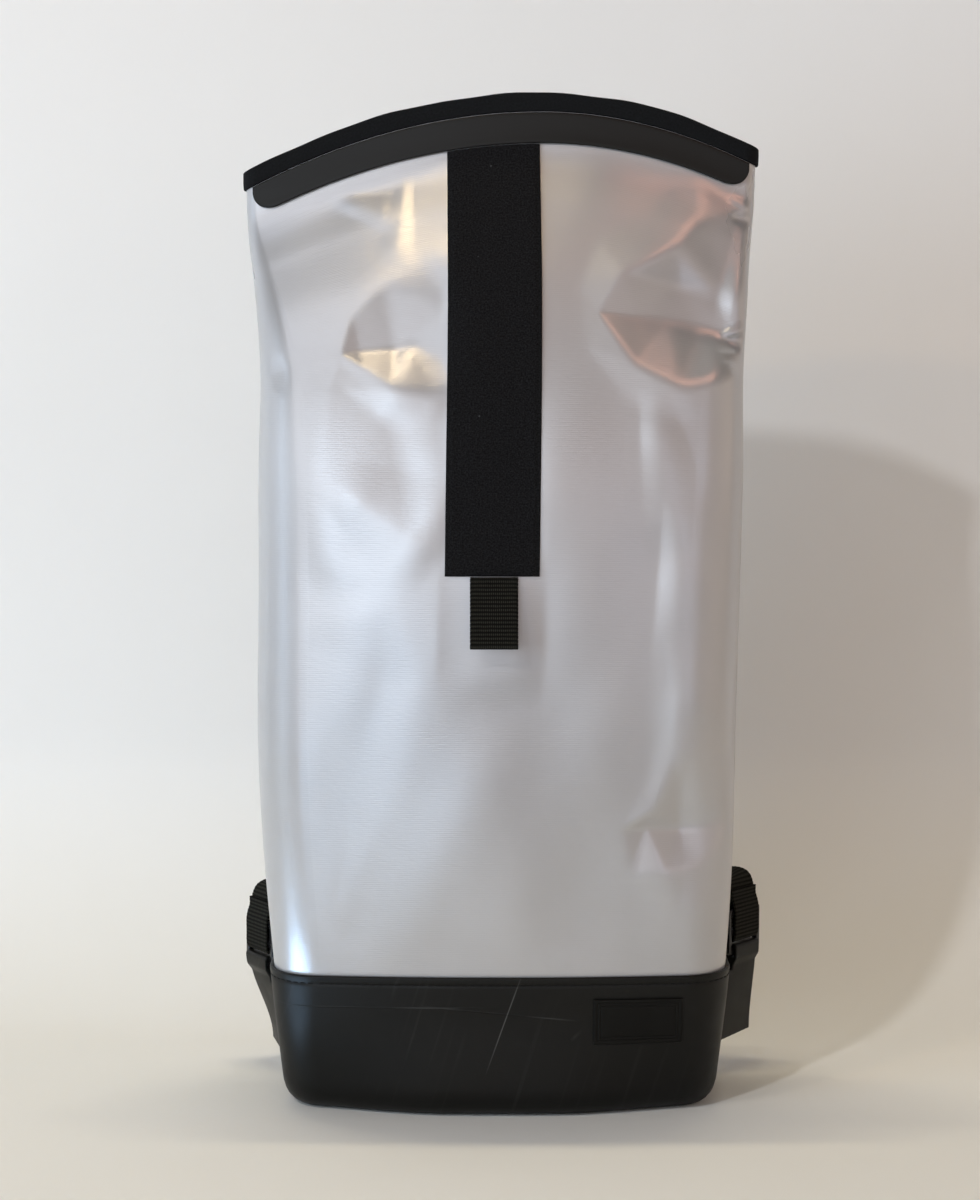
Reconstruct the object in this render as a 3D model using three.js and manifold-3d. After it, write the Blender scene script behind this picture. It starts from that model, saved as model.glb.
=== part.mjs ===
// A roll-top backpack that stands with its mouth unrolled: a tarpaulin tube in a rubber boot, a bound
// and stiffened lip, a hook-and-loop strip with a pull tab down the front, and two shoulder straps
// that hang behind it and are buckled to the boot's sides.
// Millimetres. Seen from the front, +X is right, -Y comes forward and +Z is up. The origin is the
// middle of the flat underside.

import * as THREE from 'three';
import { mergeVertices } from 'three/addons/utils/BufferGeometryUtils.js';
import Module from 'manifold-3d';

const wasm = await Module();
wasm.setup();

// Thicknesses of the sheet goods, and the clearance between two pieces
const GAP = 0.3;
const TARP = 1.5;
const RUBBER = 2.2;
const BINDING = 1.2;
const STIFFENER = 2;
const TAPE = 1.6;
const WEBBING = 1.6;
const PATCH = 1.2;
const YOKE = 3;

// Levels on the centre line, from the ground up
const BOOT_FLOOR = 3;
const BOOT_MIDDLE = 34;
const TUBE_FOOT = 56;
const BOOT_TOP = 78;
const STRIP_FOOT = 294;
const LIP_TOP = 550;
const BINDING_FOOT = LIP_TOP - 8.5;
const STIFFENER_FOOT = BINDING_FOOT - 17;

// The lip arches over the strip, and its left end slumps lower than its right one
const LIP = { peakX: 22, left: { x: -138, drop: 42 }, right: { x: 138, drop: 29 } };
const ARCH = { from: 370, full: 518 };

// Pieces laid on the front
const STRIP = { left: -29, right: 21 };
const STIFFENER_END = { x: 134.5, round: 15 };
const TAB = { left: -16, right: 9.5, foot: 256.5, opening: 1.6 };
const LABEL = { left: 50, right: 98, foot: 41, head: 66 };
const YOKE_PATCH = { half: 72, foot: 393, head: 440 };

// The tube's middle surface: one row for each level. Half width, sideways shift, the front and back
// faces on the centre line, corner radius, how far the faces bow, and how far the sides fall in.
const SECTIONS = [
  { level: 0, half: 115, shift: 0, front: -48, back: 48, corner: 17, bow: 6, pinch: 0 },
  { level: 40, half: 119, shift: 0, front: -52, back: 52, corner: 21, bow: 7, pinch: 0 },
  { level: 78, half: 123, shift: 0, front: -55, back: 54, corner: 26, bow: 8, pinch: 0 },
  { level: 145, half: 127.5, shift: -1, front: -58, back: 56, corner: 28, bow: 9, pinch: 0 },
  { level: 200, half: 129, shift: -1.8, front: -59, back: 57, corner: 28, bow: 10, pinch: 0 },
  { level: 290, half: 129.5, shift: -0.3, front: -58, back: 57, corner: 28, bow: 10, pinch: 1 },
  { level: 350, half: 130, shift: 0.4, front: -54, back: 55, corner: 26, bow: 9, pinch: 4 },
  { level: 400, half: 129.5, shift: 1, front: -46, back: 51, corner: 22, bow: 8, pinch: 11 },
  { level: 450, half: 131.5, shift: 1.2, front: -33, back: 42, corner: 16, bow: 5, pinch: 18 },
  { level: 490, half: 134, shift: 0.8, front: -18, back: 28, corner: 10, bow: 3, pinch: 15 },
  { level: 520, half: 137, shift: 0.5, front: -6, back: 15, corner: 6, bow: 2, pinch: 5 },
  { level: 550, half: 138, shift: 0.5, front: -4, back: 12, corner: 6, bow: 1.5, pinch: 0 },
];

// Creases of the front face. Each starts sharply at (x, level), runs to (toX, toLevel) and rises out of
// the cloth, or sinks where it is negative, with flanks that reach so far above and below it.
const CREASES = [
  { x: 57, level: 437, toX: 110, toLevel: 499, rise: 4.5, above: 20, below: 30 },
  { x: 56, level: 431, toX: 78, toLevel: 402, rise: 3.5, above: 18, below: 14 },
  { x: 80, level: 402, toX: 124, toLevel: 406, rise: 4, above: 24, below: 16 },
  { x: 96, level: 427, toX: 132, toLevel: 420, rise: -5, above: 26, below: 18 },
  { x: 78, level: 158, toX: 118, toLevel: 160, rise: -6, above: 34, below: 24 },
  { x: 84, level: 178, toX: 108, toLevel: 232, rise: 4, above: 20, below: 16 },
  { x: -82, level: 417, toX: -34, toLevel: 418, rise: -4, above: 24, below: 32 },
  { x: -55, level: 508, toX: -54, toLevel: 466, rise: 4, above: 16, below: 18 },
  { x: -90, level: 345, toX: -42, toLevel: 312, rise: 4.5, above: 30, below: 24 },
  { x: -104, level: 234, toX: -82, toLevel: 120, rise: 3.5, above: 22, below: 22 },
];

// A crease's flanks start at this share of their full reach, and its height comes and goes between
// these shares of its length
const CREASE = { narrow: 0.45, comes: [-0.15, 0.45], goes: [0.95, 1.35] };

// How far from the stiff strip the cloth is free to crease
const STRIP_HOLD = 8;

// A side narrower than this between its corners doesn't fall in
const PINCH_FREE = 4;

// The boot's rounded foot: how far each level of the wall is drawn in
const BOOT_FOOT = [
  { level: 0, inset: 7 },
  { level: 1.6, inset: 2.8 },
  { level: 6, inset: 0.6 },
  { level: 13, inset: 0 },
];

// A padded shoulder strap, from the yoke down: its middle line on the wearer's +X side, its width and
// thickness, and the turn of its face from backward (0 degrees) towards outward
const STRAP = [
  { x: 40, z: 387, off: 0.9, wide: 56, thick: 8, turn: 0 },
  { x: 43, z: 370, off: 2, wide: 58, thick: 8, turn: 0 },
  { x: 50, z: 325, off: 24, wide: 60, thick: 9, turn: 0 },
  { x: 59, z: 270, off: 38, wide: 60, thick: 9, turn: 0 },
  { x: 68, z: 212, off: 40, wide: 56, thick: 9, turn: -4 },
  { x: 83, z: 154, off: 34, wide: 46, thick: 9, turn: -12 },
  { x: 98, z: 112, off: 27, wide: 34, thick: 8, turn: -22 },
];
const STRAP_STEPS = 22;
const STRAP_SIDES = 12;

// Each side's buckle: the plan place of its middle, the turn of its plane and the level of its foot
const SIDES = [
  { name: 'left', sign: -1, x: 138, y: 55, turn: 56, foot: 59 },
  { name: 'right', sign: 1, x: 141, y: 55, turn: 50, foot: 66 },
];
const LOCK = { wide: 31, tall: 27, thick: 4, bar: 4, rail: 3.2 };
const LOCK_WEB = LOCK.wide - 2 * LOCK.rail - 2 * GAP;
const ANCHOR = { tall: 52, inward: 44, thick: 2 * RUBBER };
const TAIL = { rise: 13, up: 10, inward: 4, lead: 10, thick: 2.4 * WEBBING, steps: 18 };

// The most of a section's depth that one corner takes up
const CORNER_SHARE = 0.45;

// How finely each stretch of the tube's outline is divided
const RING = { frontLeft: 7, strip: 3, frontRight: 7, corner: 4, side: 4, back: 10 };
const ROWS = { belowStrip: 9, besideStrip: 10 };
const STIFFENER_STEPS = 24;

const MATERIALS = {
  tarpaulin: { color: 0xc6c6cc, roughness: 0.35, metalness: 0 },
  rubber: { color: 0x1d1d1c, roughness: 0.45, metalness: 0 },
  binding: { color: 0x23262a, roughness: 0.8, metalness: 0 },
  stiffener: { color: 0x1b1a19, roughness: 0.3, metalness: 0 },
  hook_loop: { color: 0x0d0d0e, roughness: 0.95, metalness: 0 },
  webbing: { color: 0x1b1a15, roughness: 0.85, metalness: 0 },
  padding: { color: 0x151516, roughness: 0.85, metalness: 0 },
  buckle: { color: 0x0c0c0d, roughness: 0.3, metalness: 0 },
};

// The tube's sections, read smoothly at any level
const SECTION_COLUMNS = ['half', 'shift', 'front', 'back', 'corner', 'bow', 'pinch'];
const sectionCurve = new THREE.CubicInterpolant(
  SECTIONS.map((row) => row.level),
  SECTIONS.flatMap((row) => SECTION_COLUMNS.map((column) => row[column])),
  SECTION_COLUMNS.length,
);

function sectionAt(level) {
  const values = sectionCurve.evaluate(level);
  return Object.fromEntries(SECTION_COLUMNS.map((column, i) => [column, values[i]]));
}

// How far one crease lifts the cloth at a place on the front
function creaseRise(crease, x, level) {
  const run = new THREE.Vector2(crease.toX - crease.x, crease.toLevel - crease.level);
  const place = new THREE.Vector2(x - crease.x, level - crease.level);
  const along = place.dot(run) / run.lengthSq();
  const aside = run.cross(place) / run.length() * Math.sign(run.x);
  const widen = THREE.MathUtils.lerp(CREASE.narrow, 1, THREE.MathUtils.clamp(along, 0, 1));
  const reach = (aside > 0 ? crease.above : crease.below) * widen;
  const flank = 1 - THREE.MathUtils.smoothstep(Math.abs(aside), 0, reach);
  const start = THREE.MathUtils.smoothstep(along, ...CREASE.comes);
  const end = 1 - THREE.MathUtils.smoothstep(along, ...CREASE.goes);
  return crease.rise * flank * start * end;
}

// The creases fade out beside the stiff strip
function dent(x, level) {
  const beside = Math.max(STRIP.left - x, x - STRIP.right);
  const free = THREE.MathUtils.smoothstep(beside, 0, STRIP_HOLD);
  return free * CREASES.reduce((sum, crease) => sum + creaseRise(crease, x, level), 0);
}

// The height of a place at a level: the upper levels follow the arch of the lip
function heightAt(x, level) {
  const end = x < LIP.peakX ? LIP.left : LIP.right;
  const drop = end.drop * ((x - LIP.peakX) / (end.x - LIP.peakX)) ** 2;
  return level - drop * THREE.MathUtils.smoothstep(level, ARCH.from, ARCH.full);
}

// The tube's middle outline in plan at a level, counter-clockwise from its front left
function outline(level) {
  const { half, front, back, corner, bow, pinch } = sectionAt(level);
  const flat = half - corner;
  const bowed = (x) => bow * (x / half) ** 2;
  const frontEdge = front + bowed(flat);
  const backEdge = back - bowed(flat);
  const cornerDepth = Math.min(corner, CORNER_SHARE * (backEdge - frontEdge));
  const frontSide = frontEdge + cornerDepth;
  const backSide = backEdge - cornerDepth;
  const points = [];
  const stretch = (count, place) => {
    for (let i = 0; i < count; i++) {
      points.push(new THREE.Vector2(...place(i / count)));
    }
  };
  const turn = (middleX, middleY, quarter) => stretch(RING.corner, (t) => {
    const angle = (quarter + t) * Math.PI / 2;
    const x = middleX + corner * Math.cos(angle);
    const forward = Math.max(0, -Math.sin(angle));
    return [x, middleY + cornerDepth * Math.sin(angle) - forward * dent(x, level)];
  });
  const fall = Math.min(pinch, Math.max(0, (backSide - frontSide - PINCH_FREE) / 2));
  const side = (sign) => stretch(RING.side, (t) => [
    sign * (half - fall * Math.sin(Math.PI * t)),
    THREE.MathUtils.lerp(frontSide, backSide, sign > 0 ? t : 1 - t),
  ]);
  const across = (count, from, to) => stretch(count, (t) => {
    const x = THREE.MathUtils.lerp(from, to, t);
    return [x, front + bowed(x) - dent(x, level)];
  });
  across(RING.frontLeft, -flat, STRIP.left);
  across(RING.strip, STRIP.left, STRIP.right);
  across(RING.frontRight, STRIP.right, flat);
  turn(flat, frontSide, -1);
  side(1);
  turn(flat, backSide, 0);
  stretch(RING.back, (t) => {
    const x = THREE.MathUtils.lerp(flat, -flat, t);
    return [x, back - bowed(x)];
  });
  turn(-flat, backSide, 1);
  side(-1);
  turn(-flat, frontSide, 2);
  return points;
}

// A closed ring around the tube, set off outward from its middle surface
function ring(level, offset) {
  const { shift } = sectionAt(level);
  const points = outline(level);
  return points.map((point, i) => {
    const before = points.at(i - 1);
    const after = points[(i + 1) % points.length];
    const along = after.clone().sub(before).normalize();
    const x = point.x + along.y * offset;
    const y = point.y - along.x * offset;
    return new THREE.Vector3(x + shift, y, heightAt(point.x, level));
  });
}

// A place on the front or back face, set off outward from the tube's middle surface
function facePoint(x, level, offset, facing = -1) {
  const { half, shift, front, back, bow } = sectionAt(level);
  const bowed = bow * (x / half) ** 2;
  const depth = facing < 0 ? front + bowed - dent(x, level) : back - bowed;
  const slope = 2 * bow * x / half ** 2;
  const length = Math.hypot(slope, 1);
  return new THREE.Vector3(
    x + shift + slope / length * offset,
    depth + facing / length * offset,
    heightAt(x, level),
  );
}

function spaced(from, to, count) {
  return Array.from({ length: count + 1 }, (_, i) => THREE.MathUtils.lerp(from, to, i / count));
}

// A geometry from points and triangles, with its faces turned outward
function solid(points, triangles) {
  const volume = triangles.reduce((sum, [a, b, c]) => (
    sum + points[a].dot(points[b].clone().cross(points[c]))
  ), 0);
  const outward = volume > 0 ? triangles : triangles.map(([a, b, c]) => [a, c, b]);
  const geometry = new THREE.BufferGeometry().setFromPoints(points);
  geometry.setIndex(outward.flat());
  geometry.computeVertexNormals();
  return geometry;
}

// A skin over rings of equal count: closed on itself as a loop, or capped at both ends
function loft(rings, loop) {
  const count = rings[0].length;
  const points = rings.flat();
  const triangles = [];
  const last = loop ? rings.length : rings.length - 1;
  for (let r = 0; r < last; r++) {
    const near = r * count;
    const far = ((r + 1) % rings.length) * count;
    for (let i = 0; i < count; i++) {
      const next = (i + 1) % count;
      triangles.push([near + i, near + next, far + next]);
      triangles.push([near + i, far + next, far + i]);
    }
  }
  if (!loop) {
    for (const [index, flip] of [[0, true], [rings.length - 1, false]]) {
      const middle = new THREE.Vector3();
      rings[index].forEach((point) => middle.addScaledVector(point, 1 / count));
      points.push(middle);
      for (let i = 0; i < count; i++) {
        const a = index * count + i;
        const b = index * count + (i + 1) % count;
        triangles.push(flip ? [points.length - 1, b, a] : [points.length - 1, a, b]);
      }
    }
  }
  return solid(points, triangles);
}

// A sheet with a thickness, over a grid of places that gives each one's inner and outer point
function slab(rows, columns, place) {
  const rings = rows.map((row) => {
    const outer = columns.map((column) => place(column, row, 1));
    const inner = columns.map((column) => place(column, row, 0));
    return { outer, inner };
  });
  const wide = columns.length;
  const points = rings.flatMap(({ outer, inner }) => [...outer, ...inner]);
  const at = (row, column, layer) => row * 2 * wide + (layer ? 0 : wide) + column;
  const triangles = [];
  const quad = (a, b, c, d) => triangles.push([a, b, c], [a, c, d]);
  for (let r = 0; r + 1 < rows.length; r++) {
    for (let c = 0; c + 1 < wide; c++) {
      quad(at(r, c, 1), at(r, c + 1, 1), at(r + 1, c + 1, 1), at(r + 1, c, 1));
      quad(at(r, c, 0), at(r + 1, c, 0), at(r + 1, c + 1, 0), at(r, c + 1, 0));
    }
    quad(at(r, 0, 0), at(r, 0, 1), at(r + 1, 0, 1), at(r + 1, 0, 0));
    quad(at(r, wide - 1, 1), at(r, wide - 1, 0), at(r + 1, wide - 1, 0), at(r + 1, wide - 1, 1));
  }
  const top = rows.length - 1;
  for (let c = 0; c + 1 < wide; c++) {
    quad(at(0, c, 0), at(0, c + 1, 0), at(0, c + 1, 1), at(0, c, 1));
    quad(at(top, c, 1), at(top, c + 1, 1), at(top, c + 1, 0), at(top, c, 0));
  }
  return solid(points, triangles);
}

function toManifold(geometry) {
  const bare = geometry.clone();
  bare.deleteAttribute('normal');
  bare.deleteAttribute('uv');
  const merged = mergeVertices(bare, 1e-4);
  return new wasm.Manifold(new wasm.Mesh({
    numProp: 3,
    vertProperties: new Float32Array(merged.attributes.position.array),
    triVerts: new Uint32Array(merged.index.array),
  }));
}

function fromManifold(manifold) {
  const { vertProperties, triVerts } = manifold.getMesh();
  const geometry = new THREE.BufferGeometry();
  geometry.setAttribute('position', new THREE.BufferAttribute(new Float32Array(vertProperties), 3));
  geometry.setIndex(Array.from(triVerts));
  geometry.computeVertexNormals();
  return geometry;
}

// The other hand of a piece
function mirrored(geometry) {
  const other = geometry.clone().applyMatrix4(new THREE.Matrix4().makeScale(-1, 1, 1));
  const index = other.index.array;
  for (let i = 0; i < index.length; i += 3) {
    [index[i + 1], index[i + 2]] = [index[i + 2], index[i + 1]];
  }
  return other;
}

// An outline in (thickness, height) drawn out along the width, from one place to another
function drawnOut(shape, from, to) {
  const geometry = new THREE.ExtrudeGeometry(shape, { depth: to - from, bevelEnabled: false });
  geometry.applyMatrix4(new THREE.Matrix4().makeBasis(
    new THREE.Vector3(0, 1, 0),
    new THREE.Vector3(0, 0, 1),
    new THREE.Vector3(1, 0, 0),
  ));
  geometry.translate(from, 0, 0);
  return geometry;
}

const OUTSIDE = TARP / 2 + GAP;
const TUBE_LEVELS = [
  TUBE_FOOT,
  ...spaced(BOOT_TOP, STRIP_FOOT, ROWS.belowStrip),
  ...spaced(STRIP_FOOT, STIFFENER_FOOT, ROWS.besideStrip).slice(1),
  BINDING_FOOT,
  LIP_TOP,
];

function makeBody() {
  const outer = TUBE_LEVELS.map((level) => ring(level, TARP / 2));
  const inner = TUBE_LEVELS.map((level) => ring(level, -TARP / 2)).reverse();
  return loft([...outer, ...inner], true);
}

// The boot's outline at a level, with the foot's rounding
function bootRing(level, offset) {
  const inset = new THREE.CubicInterpolant(
    BOOT_FOOT.map((row) => row.level),
    BOOT_FOOT.map((row) => row.inset),
    1,
  );
  const drawnIn = level < BOOT_FOOT.at(-1).level ? inset.evaluate(level)[0] : 0;
  return ring(level, offset - drawnIn);
}

const BOOT_LEVELS = [...BOOT_FOOT.map((row) => row.level), BOOT_MIDDLE, TUBE_FOOT, BOOT_TOP];

function makeBoot() {
  const outer = BOOT_LEVELS.map((level) => bootRing(level, OUTSIDE + RUBBER));
  const wall = BOOT_LEVELS.filter((level) => level > BOOT_FLOOR).reverse();
  const inner = wall.map((level) => bootRing(level, OUTSIDE));
  const floor = bootRing(BOOT_FLOOR, OUTSIDE - RUBBER);
  return loft([...outer, ...inner, floor], false);
}

// The room that the boot and the tube above it take up, with the clearance around them
function makeBootClear() {
  const boot = BOOT_LEVELS.map((level) => bootRing(level, OUTSIDE + RUBBER + GAP));
  const tube = ring(2 * BOOT_TOP, TARP / 2 + GAP);
  return toManifold(loft([...boot, tube], false));
}

// The folded band over the mouth's edge, outside and inside the tube
function makeBinding() {
  const crown = LIP_TOP + 2 * GAP;
  const lay = OUTSIDE + BINDING;
  return loft([
    ring(BINDING_FOOT, lay),
    ring(crown, lay),
    ring(crown + BINDING, lay - BINDING / 2),
    ring(crown + BINDING, BINDING / 2 - lay),
    ring(crown, -lay),
    ring(BINDING_FOOT, -lay),
    ring(BINDING_FOOT, -OUTSIDE),
    ring(crown, -OUTSIDE),
    ring(crown, OUTSIDE),
    ring(BINDING_FOOT, OUTSIDE),
  ], true);
}

// A strip of even height along the lip, whose lower corners are round
function makeStiffener() {
  const { x: end, round } = STIFFENER_END;
  const columns = spaced(-1, 1, STIFFENER_STEPS).map((t) => end * Math.sin(t * Math.PI / 2));
  const head = BINDING_FOOT - GAP;
  const place = (x, share, layer) => {
    const into = Math.max(0, Math.abs(x) - (end - round));
    const foot = STIFFENER_FOOT + round - Math.sqrt(round ** 2 - into ** 2);
    return facePoint(x, THREE.MathUtils.lerp(foot, head, share), OUTSIDE + layer * STIFFENER);
  };
  return slab([0, 1], columns, place);
}

function makeStrip() {
  const head = STIFFENER_FOOT - GAP;
  const levels = [...TUBE_LEVELS.filter((level) => level >= STRIP_FOOT && level < head), head];
  const place = (x, level, layer) => facePoint(x, level, OUTSIDE + GAP / 3 + layer * TAPE);
  return slab(levels, spaced(STRIP.left, STRIP.right, RING.strip), place);
}

// A loop of webbing, folded up at its foot, that hangs under the strip
function makeTab() {
  const levels = spaced(TAB.foot, STRIP_FOOT, 4);
  const clear = Math.min(...levels.map((level) => facePoint(TAB.left, level, OUTSIDE).y));
  const bend = WEBBING + TAB.opening / 2;
  const head = STRIP_FOOT - GAP;
  const shape = new THREE.Shape();
  shape.moveTo(0, head);
  shape.lineTo(-WEBBING, head);
  shape.lineTo(-WEBBING, TAB.foot + bend);
  shape.absarc(-bend, TAB.foot + bend, TAB.opening / 2, 0, Math.PI, true);
  shape.lineTo(-2 * bend + WEBBING, head);
  shape.lineTo(-2 * bend, head);
  shape.lineTo(-2 * bend, TAB.foot + bend);
  shape.absarc(-bend, TAB.foot + bend, bend, Math.PI, 2 * Math.PI, false);
  const geometry = drawnOut(shape, TAB.left, TAB.right);
  geometry.translate(0, clear - GAP, 0);
  return geometry;
}

function makeLabel() {
  const lay = OUTSIDE + RUBBER + GAP;
  const place = (x, level, layer) => facePoint(x, level, lay + GAP / 3 + layer * PATCH);
  const columns = spaced(LABEL.left, LABEL.right, 5);
  return slab(spaced(LABEL.foot, LABEL.head, 2), columns, place);
}

function makeYoke() {
  const place = (x, level, layer) => facePoint(x, level, OUTSIDE + GAP / 2 + layer * YOKE, 1);
  const columns = spaced(-YOKE_PATCH.half, YOKE_PATCH.half, 8);
  return slab(spaced(YOKE_PATCH.foot, YOKE_PATCH.head, 2), columns, place);
}

// A band swept along stations, its section a flattened oval with square shoulders
function sweep(stations, steps) {
  const path = new THREE.CatmullRomCurve3(stations.map((row) => row.at));
  const columnAt = (t, column) => {
    const place = t * (stations.length - 1);
    const low = Math.min(Math.floor(place), stations.length - 2);
    return THREE.MathUtils.lerp(stations[low][column], stations[low + 1][column], place - low);
  };
  const rings = spaced(0, 1, steps).map((t) => {
    const middle = path.getPoint(t);
    const along = path.getTangent(t);
    const facing = new THREE.Vector3(columnAt(t, 'facingX'), columnAt(t, 'facingY'), columnAt(t, 'facingZ'));
    facing.addScaledVector(along, -facing.dot(along)).normalize();
    const across = along.clone().cross(facing);
    return Array.from({ length: STRAP_SIDES }, (_, i) => {
      const angle = 2 * Math.PI * (i + 0.5) / STRAP_SIDES;
      const bulge = (value) => Math.sign(value) * Math.sqrt(Math.abs(value));
      return middle.clone()
        .addScaledVector(across, bulge(Math.cos(angle)) * columnAt(t, 'wide') / 2)
        .addScaledVector(facing, bulge(Math.sin(angle)) * columnAt(t, 'thick') / 2);
    });
  });
  return loft(rings, false);
}

// The way a band faces that is turned so far from backward towards outward
function turnedFace(degrees) {
  const turn = THREE.MathUtils.degToRad(degrees);
  return { facingX: Math.sin(turn), facingY: Math.cos(turn), facingZ: 0 };
}

// The strap's stations, set off behind the tube's back
function strapStations() {
  return STRAP.map((row) => {
    const back = facePoint(row.x, row.z, OUTSIDE, 1).y;
    const at = new THREE.Vector3(row.x, back + GAP + row.thick / 2 + row.off, row.z);
    return { ...row, ...turnedFace(row.turn), at };
  });
}

// A frame of three bars that the webbing and the anchor are threaded through, in its own plane
function makeLock() {
  const shape = new THREE.Shape();
  const half = LOCK.wide / 2;
  const round = LOCK.rail;
  shape.moveTo(-half + round, 0);
  shape.lineTo(half - round, 0);
  shape.absarc(half - round, round, round, -Math.PI / 2, 0, false);
  shape.lineTo(half, LOCK.tall - round);
  shape.absarc(half - round, LOCK.tall - round, round, 0, Math.PI / 2, false);
  shape.lineTo(-half + round, LOCK.tall);
  shape.absarc(-half + round, LOCK.tall - round, round, Math.PI / 2, Math.PI, false);
  shape.lineTo(-half, round);
  shape.absarc(-half + round, round, round, Math.PI, 1.5 * Math.PI, false);
  const slotTall = (LOCK.tall - 3 * LOCK.bar) / 2;
  for (const foot of [LOCK.bar, 2 * LOCK.bar + slotTall]) {
    const slot = new THREE.Path();
    slot.moveTo(-half + LOCK.rail, foot);
    slot.lineTo(-half + LOCK.rail, foot + slotTall);
    slot.lineTo(half - LOCK.rail, foot + slotTall);
    slot.lineTo(half - LOCK.rail, foot);
    slot.closePath();
    shape.holes.push(slot);
  }
  const options = { depth: LOCK.thick, bevelEnabled: false, curveSegments: 4 };
  const geometry = new THREE.ExtrudeGeometry(shape, options);
  geometry.rotateX(Math.PI / 2);
  geometry.translate(0, LOCK.thick / 2, 0);
  return geometry;
}

// A sheet wrapped round a bar of the buckle, whose two layers close into one band away from the bar.
// The bar's middle is at the origin, and the band runs down from it.
function wrapShape(sheet, band, length) {
  const eye = LOCK.bar / 2 + GAP;
  const outer = eye + sheet;
  const chamfer = 0.6 * sheet;
  const shoulder = eye + sheet / 2;
  const shape = new THREE.Shape();
  shape.moveTo(-outer, outer - chamfer);
  shape.lineTo(-outer, -shoulder);
  shape.lineTo(-band / 2, -shoulder - band);
  shape.lineTo(-band / 2, -length);
  shape.lineTo(band / 2, -length);
  shape.lineTo(band / 2, -shoulder - band);
  shape.lineTo(outer, -shoulder);
  shape.lineTo(outer, outer - chamfer);
  shape.lineTo(outer - chamfer, outer);
  shape.lineTo(chamfer - outer, outer);
  shape.closePath();
  const hole = new THREE.Path();
  hole.moveTo(-eye, -eye);
  hole.lineTo(eye, -eye);
  hole.lineTo(eye, eye);
  hole.lineTo(-eye, eye);
  hole.closePath();
  shape.holes.push(hole);
  return shape;
}

// The rubber tab: wrapped round the buckle's foot bar, and running inward below it to the boot
function makeAnchor(side, bootClear) {
  const length = ANCHOR.tall - LOCK.bar / 2;
  const wide = LOCK_WEB / 2;
  const tab = drawnOut(wrapShape(RUBBER, ANCHOR.thick, length), -ANCHOR.inward, wide);
  tab.translate(0, 0, side.foot + LOCK.bar / 2);
  const notch = new THREE.BoxGeometry(ANCHOR.inward, 4 * ANCHOR.thick, ANCHOR.tall);
  const notchFoot = side.foot - LOCK.bar - ANCHOR.thick;
  notch.translate(-wide - ANCHOR.inward / 2, 0, notchFoot + ANCHOR.tall / 2);
  tab.applyMatrix4(sidePlace(side));
  notch.applyMatrix4(sidePlace(side));
  return fromManifold(toManifold(tab).subtract(toManifold(notch)).subtract(bootClear));
}

// From a buckle's own plane to its place beside the boot, on the +X side
function sidePlace(side) {
  const turn = new THREE.Matrix4().makeRotationZ(THREE.MathUtils.degToRad(side.turn));
  return turn.setPosition(side.x, side.y, 0);
}

// The webbing: wrapped round the buckle's head bar, bent over inward and up again to the strap's end
function makeWebbing(side) {
  const barLevel = side.foot + LOCK.tall - LOCK.bar / 2;
  const wrap = drawnOut(wrapShape(WEBBING, TAIL.thick, TAIL.rise), -LOCK_WEB / 2, LOCK_WEB / 2);
  wrap.rotateX(Math.PI);
  wrap.translate(0, 0, barLevel);
  wrap.applyMatrix4(sidePlace(side));
  const [before, end] = strapStations().slice(-2);
  const along = end.at.clone().sub(before.at).normalize();
  const face = turnedFace(-side.turn);
  const into = new THREE.Vector3(side.x, side.y, barLevel + TAIL.rise - TAIL.thick);
  const crest = into.clone()
    .add(new THREE.Vector3(TAIL.inward * face.facingX, TAIL.inward * face.facingY, TAIL.up));
  const lead = end.at.clone().addScaledVector(along, TAIL.lead);
  const meet = end.at.clone().addScaledVector(along, 2 * GAP);
  const stations = [
    { at: into, ...face },
    { at: crest, facingX: face.facingX, facingY: face.facingY, facingZ: -1 },
    { at: lead, facingX: end.facingX, facingY: end.facingY, facingZ: -1 },
    { at: meet, ...turnedFace(end.turn) },
  ].map((row) => ({ ...row, wide: LOCK_WEB, thick: TAIL.thick }));
  const band = sweep(stations, TAIL.steps);
  return fromManifold(toManifold(wrap).add(toManifold(band)));
}

function material(name) {
  return new THREE.MeshStandardMaterial(MATERIALS[name]);
}

const backpack = new THREE.Group();

function add(name, geometry, finish) {
  const mesh = new THREE.Mesh(geometry, material(finish));
  mesh.name = name;
  backpack.add(mesh);
  return mesh;
}

add('body_shell', makeBody(), 'tarpaulin');
add('base_boot', makeBoot(), 'rubber');
add('mouth_binding', makeBinding(), 'binding');
add('lip_stiffener', makeStiffener(), 'stiffener');
add('closure_strip', makeStrip(), 'hook_loop');
add('pull_tab', makeTab(), 'webbing');
add('label_patch', makeLabel(), 'rubber');
add('strap_yoke', makeYoke(), 'padding');

const strap = sweep(strapStations(), STRAP_STEPS);
const bootClear = makeBootClear();
for (const side of SIDES) {
  const handed = (geometry) => (side.sign > 0 ? geometry : mirrored(mergeVertices(geometry)));
  const lock = makeLock();
  lock.translate(0, 0, side.foot);
  lock.applyMatrix4(sidePlace(side));
  add(`shoulder_strap_${side.name}`, handed(strap), 'padding');
  add(`strap_webbing_${side.name}`, handed(makeWebbing(side)), 'webbing');
  add(`ladder_lock_${side.name}`, handed(lock), 'buckle');
  add(`anchor_tab_${side.name}`, handed(makeAnchor(side, bootClear)), 'rubber');
}

export default backpack;
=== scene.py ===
"""A standing roll-top backpack, dressed for its portrait.

Sizes are in millimetres, in the frame of the model: +X right seen from the front, -Y forward, +Z up,
with the origin in the middle of the flat underside. They become metres where a mesh is made.
"""
import math
from collections import namedtuple

import bmesh
import bpy
import numpy as np
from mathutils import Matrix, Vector, geometry


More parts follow.
